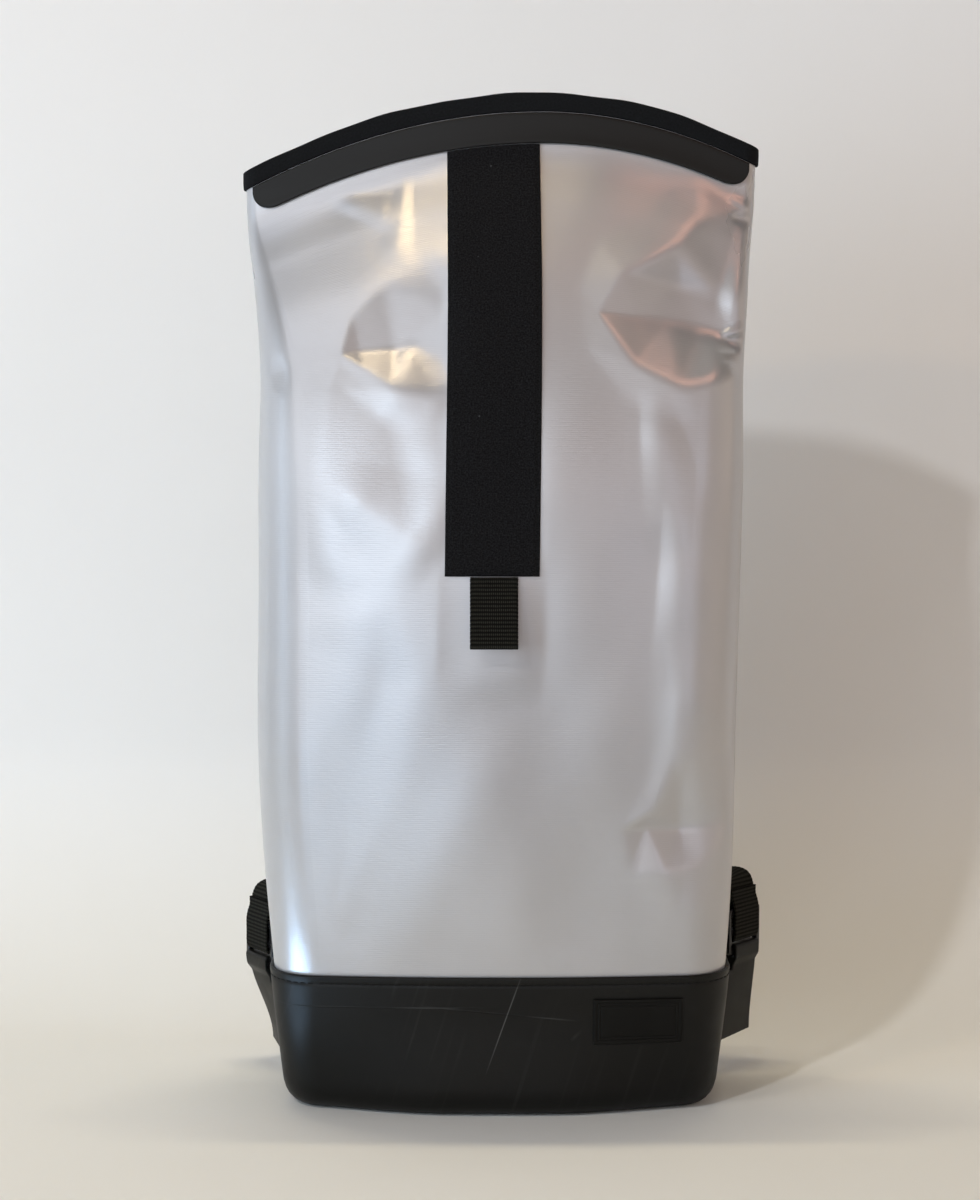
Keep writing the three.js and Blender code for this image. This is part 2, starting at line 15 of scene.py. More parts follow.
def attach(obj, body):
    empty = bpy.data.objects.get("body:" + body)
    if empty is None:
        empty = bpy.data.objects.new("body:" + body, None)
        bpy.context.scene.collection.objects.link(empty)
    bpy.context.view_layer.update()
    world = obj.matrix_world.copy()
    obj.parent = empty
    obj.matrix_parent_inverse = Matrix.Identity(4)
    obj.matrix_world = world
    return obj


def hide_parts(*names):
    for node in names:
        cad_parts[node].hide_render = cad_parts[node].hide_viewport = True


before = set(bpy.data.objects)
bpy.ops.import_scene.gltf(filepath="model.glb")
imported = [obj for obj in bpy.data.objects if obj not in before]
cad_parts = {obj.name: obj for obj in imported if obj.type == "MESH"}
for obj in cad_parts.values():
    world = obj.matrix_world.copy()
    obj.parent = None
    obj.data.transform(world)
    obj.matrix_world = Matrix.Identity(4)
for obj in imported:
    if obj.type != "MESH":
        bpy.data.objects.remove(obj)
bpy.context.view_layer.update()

MM = 0.001

# Thicknesses of the sheet goods, and the clearance between two pieces
GAP = 0.3
TARP = 1.5
RUBBER = 2.2
BINDING = 1.2
STIFFENER = 2.0
TAPE = 1.6
WEBBING = 1.6
PATCH = 1.2
YOKE = 3.0
OUTSIDE = TARP / 2 + GAP

# Levels on the centre line, from the ground up
BOOT_FLOOR = 3
TUBE_FOOT = 56
BOOT_TOP = 78
STRIP_FOOT = 294
LIP_TOP = 550
BINDING_TALL = 8.5
BINDING_FOOT = LIP_TOP - BINDING_TALL
STIFFENER_FOOT = BINDING_FOOT - 17

# The lip arches over the strip, and its left end slumps lower than its right one
LIP_PEAK = 22
LIP_LEFT = (-138, 42)
LIP_RIGHT = (138, 29)
ARCH = (370, 518)

# Pieces laid on the front and back
STRIP = (-29, 21)
STIFFENER_END = 134.5
STIFFENER_ROUND = 15
TAB = (-16, 9.5)
TAB_FOOT = 256.5
TAB_OPENING = 1.6
TAB_SWING = 8
LABEL = (50, 98, 41, 66)
YOKE_PATCH = (72, 393, 440)

# The tube's middle surface: one row for each level
SECTION_NAMES = ("half", "shift", "front", "back", "corner", "bow", "pinch")
SECTIONS = np.array([
    (0, 115, 0, -48, 48, 17, 6, 0),
    (40, 119, 0, -52, 52, 21, 7, 0),
    (78, 123, 0, -55, 54, 26, 8, 0),
    (145, 127.5, -1, -58, 56, 28, 9, 0),
    (200, 129, -1.8, -59, 57, 28, 10, 0),
    (290, 129.5, -0.3, -58, 57, 28, 10, 1),
    (350, 130, 0.4, -54, 55, 26, 9, 4),
    (400, 129.5, 1, -46, 51, 22, 8, 11),
    (450, 131.5, 1.2, -33, 42, 16, 5, 18),
    (490, 134, 0.8, -18, 28, 10, 3, 15),
    (520, 137, 0.5, -6, 15, 6, 2, 5),
    (550, 138, 0.5, -4, 12, 6, 1.5, 0),
])
CORNER_SHARE = 0.45
PINCH_FREE = 4

# Dents of the front, pressed in as flat facets between fold lines. Each has its corners, with their
# place across and up the front and their height out of the cloth, the folds that join them, a hem of
# places where the cloth is level again, and how soft its edges are: sharp at the first corner, softer away
Dent = namedtuple("Dent", "corners folds hem soft")
DENTS = [
    # under the lip's right end
    Dent(
        corners=dict(
            tip=(51.5, 433, 0.2), rim_low=(65.5, 454, 1.2), rim=(94, 469, 1.4),
            rim_top=(108.8, 485.5, 1.4), lip=(109.5, 510, 1.6), side=(118, 442, -10.5),
            hollow=(94, 447, -8.0), valley_near=(70, 430.7, -4.8), valley=(89, 428.5, -9.4),
            valley_mid=(107.5, 423.5, -13.0), valley_far=(124.5, 415, -14.5),
            knee=(71, 405.7, 1.0), foot=(95, 393.5, 2.0), foot_far=(124.5, 400, 0.2),
        ),
        folds=["tip rim_low rim rim_top lip", "rim_top side valley_far",
               "tip valley_near valley valley_mid valley_far", "tip knee foot foot_far"],
        hem=[(41, 446), (51, 472), (80, 487), (99, 512), (121, 512), (134, 488), (137, 440), (137, 396),
             (100, 374), (66, 386), (44, 416)],
        soft=3.0),
    # beside the strip
    Dent(
        corners=dict(
            tip=(-85.5, 411, 0.2), valley_near=(-76, 412.5, -2.2), valley=(-57, 414, -4.4),
            bend=(-46.5, 416.6, -4.4), valley_far=(-27, 436, -2.2),
            foot_near=(-72.7, 403.4, 0.5), foot=(-57, 392.3, 1.8), foot_far=(-34, 389, 1.2),
            brow_near=(-80, 430, 0.3), brow=(-63, 449, 0.5), brow_far=(-42, 464, 0.3),
        ),
        folds=["tip valley_near valley bend valley_far", "tip foot_near foot foot_far",
               "brow_near brow brow_far"],
        hem=[(-98, 416), (-92, 444), (-70, 470), (-40, 484), (-12, 452), (-12, 398), (-34, 370), (-62, 374),
             (-84, 393), (-96, 404)],
        soft=3.6),
    # above the boot's right corner
    Dent(
        corners=dict(
            near=(79, 158.5, -3.0), valley=(97, 158, -7.0), far=(116.6, 159.5, -5.4),
            band_low=(83, 168, 1.0), band=(98.5, 197, 2.4), band_high=(101.5, 228, 1.6),
            toe=(90, 134, 1.1), toe_low=(98, 113, 0.5), crack=(107, 138, -1.6),
            side=(117, 197, -0.6),
        ),
        folds=["near valley far", "near band_low band band_high", "near toe toe_low", "far crack toe_low"],
        hem=[(66, 158), (80, 188), (88, 230), (95, 262), (111, 256), (127, 210), (131, 160), (122, 118),
             (102, 93), (82, 108), (71, 134)],
        soft=4.0),
    # two flat stretches on the left, below the dent beside the strip
    Dent(
        corners=dict(
            tip=(-86, 408, 0), left_high=(-92, 391, 0.8), left=(-98, 343, 1.2),
            left_low=(-90, 300, 0.7), right_high=(-72, 393, -0.2), right=(-57, 371, -0.6),
            right_low=(-48, 343, -0.9), foot=(-46, 318, -0.7),
        ),
        folds=["tip left_high left left_low", "tip right_high right right_low foot"],
        hem=[(-88, 418), (-106, 390), (-112, 343), (-104, 296), (-88, 280), (-60, 290), (-36, 315),
             (-34, 345), (-44, 376), (-64, 400)],
        soft=3.6),
    Dent(
        corners=dict(
            foot=(-88, 112, 0.2), left=(-103, 200, 1.1), left_high=(-104, 262, 0.7),
            right=(-70, 190, -0.5), right_high=(-60, 240, -0.8),
        ),
        folds=["foot left left_high", "foot right right_high"],
        hem=[(-84, 98), (-104, 110), (-117, 200), (-118, 262), (-100, 292), (-60, 280), (-42, 240),
             (-54, 180), (-74, 108)],
        soft=3.6),
]
SOFT_SAMPLES = 19
SOFT_RUN = 40
SOFT_LEAST, SOFT_MOST = 0.3, 2
SOFT_TURN = math.radians(137.5)

# Softer creases of the front: each starts at (x, z), runs to (to_x, to_z) and rises out of the cloth, or
# sinks where it is negative, with flanks that reach so far above and below it and a ridge rounded so much
Crease = namedtuple("Crease", "x z to_x to_z rise above below round")
CREASES = [
    # crumples at the right side
    Crease(116, 420, 132, 425, 2.0, 6, 4, 0.8),
    Crease(117, 412, 132, 410, 1.6, 5, 5, 0.8),
    Crease(123, 496, 135, 491, 1.6, 5, 4, 0.7),
    Crease(124, 485, 135, 482, -1.4, 6, 5, 0.9),
    # the long soft fold below them
    Crease(80, 392, 93, 322, 1.2, 16, 14, 5.0),
    Crease(96, 335, 101, 218, 1.9, 24, 17, 7.0),
    # the gathers under the lip's left end
    Crease(-52, 506, -57, 466, 0.45, 8, 8, 2.0),
    Crease(-90, 494, -62, 487, 0.7, 8, 8, 3.0),
    Crease(-136, 398, -118, 402, -1.6, 8, 12, 1.5),
    # the loose fold further down on the left
    Crease(-92, 346, -44, 312, 1.3, 34, 26, 4.0),
]
CREASE_NARROW = 0.28
CREASE_COMES = (-0.08, 0.4)
CREASE_GOES = (0.9, 1.3)
CREASE_CREST = 0.03

# Where the cloth is held: under the stiff middle of the strip, behind the tab, at the lip and at the boot
STRIP_STIFF = (-11, 3)
STRIP_HOLD = 22
STRIP_HELD = (215, 258)
TAB_HELD = (222, 248, 300, 330)
TAB_BESIDE = (3, 18)
LIP_HOLD = 14
BOOT_HELD = (BOOT_TOP - 4, BOOT_TOP + 26)

# Slow waves of the slack cloth: height, waves across and up the bag per metre, and where they start
WAVES = [
    (0.5, 9.0, 2.6, 0.3),
    (0.35, -6.0, 6.1, 1.9),
    (0.18, 15.0, 3.4, 4.1),
    (0.1, -19.0, 9.7, 2.2),
]

# How finely each stretch of the tube's outline and of its height is divided
RING = {"front_left": 74, "strip": 8, "front_right": 74, "corner": 12, "side": 12, "back": 32}
ROWS = {"in_boot": 5, "cloth": 280, "lip": 10, "inside": 56}

# The boot's rounded foot: how far each level of the wall is drawn in
BOOT_FOOT = np.array([(0, 12), (0.5, 8.8), (1.6, 6.2), (3.4, 3.9), (6, 2.0), (9, 0.8), (13, 0.1)])
BOOT_BULGE = {"middle": 5, "corners": 7, "from": 30, "to": 116, "fades": 60, "turns": 25}
SEAM_DROP = 4.3
SEAM_GROOVE = {"deep": 0.3, "wide": 0.9}

# Stitches: their pitch, length and thickness on each piece, and how one swells along its length
STITCHES = {"boot": (4.5, 3.3, 0.75), "strap": (4.0, 2.9, 0.6), "yoke": (3.6, 2.6, 0.6)}
STITCH_SHAPE = [(0, 0.35), (0.12, 0.85), (0.35, 1), (0.65, 1), (0.88, 0.85), (1, 0.35)]
STITCH_SIDES = 6

# Raised pile and webbing ribs: heights and pitches
PILE = {"high": 0.35, "uneven": 0.35, "selvedge": (2.0, 3.0)}
TAB_WEAVE = {"rib": 2.15, "cord": 1.05, "rib_high": 0.3, "cord_high": 0.06, "scallop": 0.22}
TAIL_WEAVE = {"rib": 2.1, "cord": 1.05, "rib_high": 0.12, "cord_high": 0.04, "sunk": 0.1}
TAB_STEPS = 100

# The pressed double line round the label: how far in, how wide and how deep
LABEL_LINES = {"insets": (2.2, 3.9), "wide": 0.35, "deep": 0.4}

# The yoke's sewing: the box's inset, and the crossed box over each strap
YOKE_SEWN = {"inset": 4, "strap": 40, "half": 24, "cross": 7}

# A padded shoulder strap, from the yoke down: its middle line on the +X side, how far it stands off the
# back, its width and thickness, and the turn of its face from backward towards outward
STRAP = np.array([
    # x, z, off, wide, thick, turn
    (40, 387, 0.9, 56, 8, 0),
    (43, 370, 2, 58, 8, 0),
    (50, 325, 24, 60, 9, 0),
    (59, 270, 38, 60, 9, 0),
    (68, 212, 40, 56, 9, -4),
    (83, 154, 34, 46, 9, -12),
    (98, 112, 27, 34, 8, -22),
])
STRAP_FLANGE = 5

# Each side's buckle: the plan place of its middle, the turn of its plane, the level of its foot, and how
# far the rubber tab below it twists towards the boot
Side = namedtuple("Side", "name sign x y turn foot twist")
SIDES = [Side("left", -1, 138, 55, 56, 59, 20), Side("right", 1, 141, 55, 50, 66, 6)]
LOCK_TALL = 27
LOCK_BAR = 4
LOCK_WEB = 24
TAIL_RISE = 13
TAIL_UP = 10
TAIL_INWARD = 4
TAIL_LEAD = 10
TAIL_THICK = 2.4 * WEBBING

# The webbing's middle line round the buckle's head and middle bars: how far behind and above the bar's middle
BAR_WRAP = np.array([
    (-1.0, 13), (-1.0, 8.5), (-2.5, 4), (-3.15, 0.6), (-3.15, -7), (-3.15, -13), (-2.3, -15.9), (0, -17),
    (2.3, -15.9), (3.15, -13), (3.15, -7), (3.15, 0.6), (2.5, 4), (1.0, 8.5), (0.4, 11.5),
])

# The camera, in metres and degrees
CAMERA = {"place": (-0.0054, -1.360, 0.400), "pitch": 5.2, "lens": 49.5, "sensor": 24}

# The paper behind and below, in metres
PAPER = {"wall": 0.27, "bend": 0.16, "wide": 3.0, "near": -0.75, "high": 3.0}

# The room's light: its tones from left to right, and from below to above
ROOM_STRENGTH = 0.97
WALL_TONES = [
    (0.0, (0.8, 0.85, 0.92)), (0.36, (0.92, 0.97, 1.02)), (0.5, (0.68, 0.62, 0.6)),
    (0.66, (0.36, 0.27, 0.23)), (1.0, (0.7, 0.59, 0.5)),
]
HEIGHT_TONES = [
    (0.2, (0.3, 0.28, 0.27)), (0.43, (0.34, 0.32, 0.31)), (0.5, (1.3, 1.3, 1.32)), (0.58, (1.35, 1.33, 1.32)),
    (0.66, (0.8, 0.77, 0.75)), (0.74, (0.25, 0.22, 0.2)), (0.85, (0.05, 0.05, 0.05)),
]

# Soft lights, in metres: those that light the bag and the paper, and those that only show in its gloss
Light = namedtuple("Light", "name place target size color power")
MIDDLE = (0, 0, 0.3)
FRONT = (0, -0.05, 0.4)
COOL = (0.5, 0.74, 1.0)
LIT = [
    Light("window", (-1.02, -1.75, 1.85), MIDDLE, (0.1, 0.1), (0.94, 0.97, 1.0), 15.2),
    Light("sky", (-1.7, -1.2, 0.5), MIDDLE, (0.9, 1.0), (0.66, 0.84, 1.0), 20),
    Light("ceiling", (-0.12, 0.24, 2.6), (-0.12, 0, 0), (1.1, 0.04), (1.0, 0.87, 0.6), 18),
    Light("lamp_left", (-0.62, -0.72, 0.95), MIDDLE, (0.04, 0.04), (1.0, 0.66, 0.3), 1.2),
    Light("room", (1.5, -0.35, 0.7), (0.3, 0.27, 0.35), (0.8, 1.0), (1.0, 0.78, 0.62), 2.6),
]
GLOSSY = [
    Light("far_window", (0.8, -2.0, 0.35), MIDDLE, (0.25, 0.75), (0.68, 0.8, 1.0), 0.7),
    Light("room_left", (-0.9, -3.0, 0.9), MIDDLE, (1.9, 2.2), (0.95, 0.96, 1.0), 11),
    Light("room_right", (1.1, -3.0, 1.4), MIDDLE, (1.9, 2.0), (1.0, 0.66, 0.55), 2.0),
    Light("sky_above", (-0.65, -1.35, 1.6), (0, 0, 0.45), (0.9, 0.6), (0.85, 0.9, 1.0), 3.2),
    Light("sky_edge", (-1.7, -0.9, 0.5), MIDDLE, (0.5, 1.0), COOL, 0.8),
    Light("sky_behind", (-0.6, -2.3, 0.4), MIDDLE, (0.4, 1.0), (0.6, 0.8, 1.0), 3.0),
    Light("sky_on_floor", (-0.25, -1.0, 0.012), (-0.25, -1.0, 1), (0.22, 0.9), COOL, 1.0),
    Light("sky_by_boot", (-0.24, -0.13, 0.004), (-0.24, -0.13, 1), (0.16, 0.12), (0.45, 0.7, 1.0), 0.5),
    Light("lamp", (-0.15, -0.8, 1.47), FRONT, (0.16, 0.16), (1.0, 0.76, 0.44), 1.9),
    Light("lamp_glow", (0.5, -0.72, 1.25), FRONT, (0.3, 0.3), (1.0, 0.46, 0.3), 0.7),
]


# The wave texture's scale that gives threads a pitch of one millimetre
WAVE_PITCH = 314


def smoothstep(value, low, high):
    t = np.clip((value - low) / (high - low), 0, 1)
    return t * t * (3 - 2 * t)


def lerp(a, b, t):
    return a + (b - a) * t


def unit(vectors):
    return vectors / np.linalg.norm(vectors, axis=-1, keepdims=True)


def lengths(path):
    """How far along a path each of its points lies."""
    return np.concatenate([[0], np.cumsum(np.linalg.norm(np.diff(path, axis=0), axis=1))])


def smooth_read(table, places):
    """Reads the columns of a table smoothly, at some places along its first column."""
    knots, values = table[:, 0], table[:, 1:]
    chord = np.diff(values, axis=0) / np.diff(knots)[:, None]
    slope = np.vstack([chord[:1], (chord[:-1] + chord[1:]) / 2, chord[-1:]])
    places = np.clip(np.asarray(places, float), knots[0], knots[-1])
    low = np.clip(np.searchsorted(knots, places) - 1, 0, len(knots) - 2)
    span = (knots[low + 1] - knots[low])[..., None]
    t = (places - knots[low])[..., None] / span
    near = values[low] * (1 + 2 * t) + slope[low] * span * t
    far = values[low + 1] * (3 - 2 * t) - slope[low + 1] * span * (1 - t)
    return near * (1 - t) ** 2 + far * t ** 2


def section(levels):
    """The tube's named section values at each level."""
    values = smooth_read(SECTIONS, levels)
    return {name: values[..., i] for i, name in enumerate(SECTION_NAMES)}


def height_at(x, level):
    """The height of a place at a level: the upper levels follow the arch of the lip."""
    left = LIP_LEFT[1] * ((x - LIP_PEAK) / (LIP_LEFT[0] - LIP_PEAK)) ** 2
    right = LIP_RIGHT[1] * ((x - LIP_PEAK) / (LIP_RIGHT[0] - LIP_PEAK)) ** 2
    return level - np.where(x < LIP_PEAK, left, right) * smoothstep(level, *ARCH)


def crease_rise(crease, x, z):
    """How far one crease lifts the cloth: a tent along its line, narrow where the line starts."""
    run_x, run_z = crease.to_x - crease.x, crease.to_z - crease.z
    length = math.hypot(run_x, run_z)
    off_x, off_z = x - crease.x, z - crease.z
    along = (off_x * run_x + off_z * run_z) / length ** 2
    aside = (run_x * off_z - run_z * off_x) / length * np.sign(run_x)
    widen = lerp(CREASE_NARROW, 1, np.clip(along, 0, 1))
    reach = np.where(aside > 0, crease.above, crease.below) * widen
    away = (np.hypot(aside, crease.round) - crease.round) / reach
    slope = 1 - away
    tent = np.where(away < 2, (slope + np.sqrt(slope ** 2 + CREASE_CREST)) / 2, 0)
    comes = smoothstep(along, *CREASE_COMES)
    goes = 1 - smoothstep(along, *CREASE_GOES)
    return crease.rise * tent * comes * goes


def facets(shape):
    """The flat facets of a dent, as rows of three corners."""
    names = list(shape.corners)
    spots = list(shape.corners.values()) + [(x, z, 0) for x, z in shape.hem]
    lines = [fold.split() for fold in shape.folds]
    edges = [(names.index(a), names.index(b)) for line in lines for a, b in zip(line, line[1:])]
    places = [Vector(spot[:2]) for spot in spots]
    made = geometry.delaunay_2d_cdt(places, edges, [], 0, 1e-6)
    return np.array([[spots[corner] for corner in face] for face in made[2]], float)


def flat_rise(corners, x, z):
    """Heights on flat facets, and nothing beyond them."""
    rise = np.zeros(x.shape)
    for (ax, az, a), (bx, bz, b), (cx, cz, c) in corners:
        whole = (bz - cz) * (ax - cx) + (cx - bx) * (az - cz)
        to_a = ((bz - cz) * (x - cx) + (cx - bx) * (z - cz)) / whole
        to_b = ((cz - az) * (x - cx) + (ax - cx) * (z - cz)) / whole
        to_c = 1 - to_a - to_b
        inside = np.minimum(np.minimum(to_a, to_b), to_c) >= 0
        rise = np.where(inside, a * to_a + b * to_b + c * to_c, rise)
    return rise


def dent_rise(shape, x, z):
    """How far a dent lifts the cloth: its flat facets, evened out over a small disc around each place."""
    corners = facets(shape)
    tip_x, tip_z, _ = next(iter(shape.corners.values()))
    away = np.hypot(x - tip_x, z - tip_z) / SOFT_RUN
    soft = shape.soft * np.minimum(SOFT_LEAST + away, SOFT_MOST)
    total = 0
    for sample in range(SOFT_SAMPLES):
        reach = soft * math.sqrt((sample + 0.5) / SOFT_SAMPLES)
        turn = sample * SOFT_TURN
        total = total + flat_rise(corners, x + reach * math.cos(turn), z + reach * math.sin(turn))
    return total / SOFT_SAMPLES


def slack(x, level):
    """How far the front stands out of its plain shape, with nothing under the stiff strip and lip."""
    z = height_at(x, level)
    x, z = np.broadcast_arrays(x, z)
    rise = sum(crease_rise(crease, x, z) for crease in CREASES)
    rise = rise + sum(dent_rise(shape, x, z) for shape in DENTS)
    for height, across, up, start in WAVES:
        rise = rise + height * np.sin(2 * math.pi * (across * x + up * z) * MM + start)
    beside = np.maximum(STRIP_STIFF[0] - x, x - STRIP_STIFF[1])
    strip = (1 - smoothstep(beside, 0, STRIP_HOLD)) * smoothstep(level, *STRIP_HELD)
    by_tab = np.maximum(TAB[0] - x, x - TAB[1])
    tab = smoothstep(level, *TAB_HELD[:2]) * (1 - smoothstep(level, *TAB_HELD[2:]))
    tab = tab * (1 - smoothstep(by_tab, *TAB_BESIDE))
    lip = smoothstep(level, STIFFENER_FOOT - LIP_HOLD, STIFFENER_FOOT)
    free = (1 - strip) * (1 - tab) * (1 - lip)
    return rise * free * smoothstep(level, *BOOT_HELD)


def tube_plan(levels):
    """The tube's middle outline in plan, a row for each level, counter-clockwise from its front left."""
    level = np.asarray(levels, float)[:, None]
    values = section(level)
    half, front, back = values["half"], values["front"], values["back"]
    corner, bow, pinch = values["corner"], values["bow"], values["pinch"]
    flat = half - corner
    front_edge = front + bow * (flat / half) ** 2
    back_edge = back - bow * (flat / half) ** 2
    deep = np.minimum(corner, CORNER_SHARE * (back_edge - front_edge))
    front_side, back_side = front_edge + deep, back_edge - deep
    fall = np.minimum(pinch, np.maximum(0, (back_side - front_side - PINCH_FREE) / 2))

    def shares(stretch):
        return np.arange(RING[stretch])[None, :] / RING[stretch]

    def across(stretch, start, end):
        x = lerp(start + 0 * level, end, shares(stretch))
        return x, front + bow * (x / half) ** 2 - slack(x, level)

    def turn(middle_x, middle_y, quarter):
        angle = (quarter + shares("corner")) * math.pi / 2
        x = middle_x + corner * np.cos(angle)
        forward = np.maximum(0, -np.sin(angle))
        return x, middle_y + deep * np.sin(angle) - forward * slack(x, level)

    def side(sign):
        t = shares("side")
        x = sign * (half - fall * np.sin(math.pi * t))
        return x, lerp(front_side, back_side, t if sign > 0 else 1 - t)

    back_x = lerp(flat, -flat, shares("back"))
    stretches = [
        across("front_left", -flat, STRIP[0]),
        across("strip", STRIP[0], STRIP[1]),
        across("front_right", STRIP[1], flat),
        turn(flat, front_side, -1),
        side(1),
        turn(flat, back_side, 0),
        (back_x, back - bow * (back_x / half) ** 2),
        turn(-flat, back_side, 1),
        side(-1),
        turn(-flat, front_side, 2),
    ]
    return np.hstack([x for x, _ in stretches]), np.hstack([y for _, y in stretches])


def tube_rings(levels, offset):
    """Closed rings around the tube, set off outward from its middle surface."""
    x, y = tube_plan(levels)
    along_x = np.roll(x, -1, 1) - np.roll(x, 1, 1)
    along_y = np.roll(y, -1, 1) - np.roll(y, 1, 1)
    length = np.hypot(along_x, along_y)
    level = np.asarray(levels, float)[:, None]
    offset = np.broadcast_to(np.asarray(offset, float).reshape(-1, 1), (len(levels), 1))
    shift = section(level)["shift"]
    return np.dstack([
        x + along_y / length * offset + shift,
        y - along_x / length * offset,
        height_at(x, level),
    ])


def face_point(x, level, offset, facing=-1, folded=False):
    """Places on the front or back face, set off outward from the tube's middle surface."""
    x, level = np.broadcast_arrays(np.asarray(x, float), np.asarray(level, float))
    values = section(level)
    bowed = values["bow"] * (x / values["half"]) ** 2
    slope = 2 * values["bow"] * x / values["half"] ** 2
    length = np.hypot(slope, 1)
    depth = values["front"] + bowed if facing < 0 else values["back"] - bowed
    if folded:
        depth = depth - slack(x, level)
    return np.stack([
        x + values["shift"] + slope / length * offset,
        depth + facing / length * offset,
        height_at(x, level),
    ], -1)


def around(points):
    """Distances around the middle ring of a stack, for the cloth's own measure."""
    ring = points[len(points) // 2]
    steps = np.linalg.norm(np.roll(ring, -1, 0) - ring, axis=1)
    return np.concatenate([[0], np.cumsum(steps)])


def add_piece(name, shape, finish, node=None):
    """A mesh piece that rides on the bag, with its faces turned outward."""
    points, faces, measures = shape
    mesh = bpy.data.meshes.new(name)
    mesh.from_pydata((points * MM).tolist(), [], [list(map(int, face)) for face in faces])
    if measures is not None:
        layer = mesh.uv_layers.new(name="cloth")
        layer.data.foreach_set("uv", (np.concatenate(measures) * MM).ravel())
    work = bmesh.new()
    work.from_mesh(mesh)
    bmesh.ops.recalc_face_normals(work, faces=work.faces)
    work.to_mesh(mesh)
    work.free()
    return add_object(name, mesh, finish, node)


def add_object(name, mesh, finish, node=None):
    """A smooth piece on the bag's one body, in place of a plain solid if that is named."""
    mesh.polygons.foreach_set("use_smooth", np.ones(len(mesh.polygons), bool))
    mesh.materials.clear()
    mesh.materials.append(finish)
    piece = bpy.data.objects.new(name, mesh)
    bpy.context.scene.collection.objects.link(piece)
    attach(piece, "root")
    if node is not None:
        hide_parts(node)
    return piece


def skin(rings, u, v, loop=False, caps=False):
    """Points, faces and measures of a skin over closed rings, closed on itself or capped at its ends."""
    rows, count = rings.shape[:2]
    last = rows if loop else rows - 1
    row, column = (grid.ravel() for grid in np.indices((last, count)))
    corners = ((0, 0), (1, 0), (1, 1), (0, 1))
    faces = [(row + up) % rows * count + (column + on) % count for on, up in corners]
    v = np.append(v, v[-1] + 1)
    measures = [np.stack([u[column + on], v[row + up]], 1) for on, up in corners]
    faces, measures = list(np.stack(faces, 1)), list(np.stack(measures, 1))
    if caps:
        for end in (0, rows - 1):
            faces.append(np.arange(count) + end * count)
            measures.append(np.stack([u[:count], np.full(count, v[end])], 1))
    return rings.reshape(-1, 3), faces, measures


def edged(low, high, step, edge):
    """Places from low to high, drawn closer together where a rounded edge begins and ends."""
    rise = edge * np.array([0, 0.06, 0.22, 0.5, 1])
    inner = np.linspace(low + edge, high - edge, max(2, int((high - low - 2 * edge) / step) + 1))
    return np.concatenate([low + rise[:-1], inner, (high - rise[:-1])[::-1]])


def pillow(xs, ys, place, thick, edge, relief=None):
    """A thin sheet with rounded edges over a grid of places: its points, faces and measures."""
    x, y = np.meshgrid(xs, ys)
    to_edge = np.minimum.reduce([x - xs[0], xs[-1] - x, y - ys[0], ys[-1] - y])
    swell = np.sqrt(np.maximum(0, 1 - np.clip(1 - to_edge / edge, 0, 1) ** 2))
    extra = 0 if relief is None else relief(x, y) * smoothstep(swell, 0.8, 1)
    upper = place(x, y, thick / 2 * (1 + swell) + extra).reshape(-1, 3)
    lower = place(x, y, thick / 2 * (1 - swell)).reshape(-1, 3)
    rows, count = x.shape
    index = np.arange(rows * count).reshape(rows, count)
    rim = np.ones_like(index, bool)
    rim[1:-1, 1:-1] = False
    under = index.copy()
    under[~rim] = rows * count + np.arange((~rim).sum())
    points = np.vstack([upper, lower[~rim.ravel()]])
    corners = [np.s_[:-1, :-1], np.s_[:-1, 1:], np.s_[1:, 1:], np.s_[1:, :-1]]
    top = np.stack([index[corner].ravel() for corner in corners], 1)
    bottom = np.stack([under[corner].ravel() for corner in reversed(corners)], 1)
    flat = np.stack([x, y], -1)
    measures = [np.stack([flat[corner].reshape(-1, 2) for corner in order], 1)
                for order in (corners, corners[::-1])]
    return points, np.vstack([top, bottom]), list(np.vstack(measures))


def stitch(start, end, thick):
    """A thread's stitch between two places: its points and faces."""
    along = unit(end - start)
    side = np.cross(along, (0, 0, 1.0))
    if np.linalg.norm(side) < 0.1:
        side = np.cross(along, (0, 1.0, 0))
    side = unit(side)
    angles = np.arange(STITCH_SIDES) * 2 * math.pi / STITCH_SIDES
    wheel = np.cos(angles)[:, None] * side + np.sin(angles)[:, None] * np.cross(along, side)
    rings = np.array([lerp(start, end, share) + wheel * thick / 2 * swell for share, swell in STITCH_SHAPE])
    points, faces, _ = skin(rings, np.arange(STITCH_SIDES + 1), np.arange(len(rings)), caps=True)
    return points, faces


def add_stitches(name, lines, finish, slot, pitch, long, thick):
    """Rows of stitches, each along a line of places."""
    points, faces, count = [], [], 0
    for line in lines:
        steps = lengths(line)
        for begin in np.arange(0, steps[-1] - long, pitch):
            ends = [np.array([np.interp(at, steps, line[:, axis]) for axis in range(3)])
                    for at in (begin, begin + long)]
            more, sides = stitch(*ends, thick)
            points.append(more)
            faces += [face + count for face in sides]
            count += len(more)
    return add_piece(name, (np.vstack(points), faces, None), finish)


def new_finish(name, color, roughness, **sockets):
    """A material, its node tree and its main shader, with the plain values set."""
    made = bpy.data.materials.new(name)
    made.use_nodes = True
    main = made.node_tree.nodes["Principled BSDF"]
    main.inputs["Base Color"].default_value = (*color, 1)
    main.inputs["Roughness"].default_value = roughness
    for socket, value in sockets.items():
        main.inputs[socket.replace("_", " ").title().replace("Ior", "IOR")].default_value = value
    return made, made.node_tree, main


def add_node(tree, kind, inputs, **settings):
    """A node with its settings, and each input set or linked."""
    made = tree.nodes.new(kind)
    for key, value in settings.items():
        setattr(made, key, value)
    for key, value in inputs.items():
        if isinstance(value, bpy.types.NodeSocket):
            tree.links.new(value, made.inputs[key])
        else:
            made.inputs[key].default_value = value
    return made


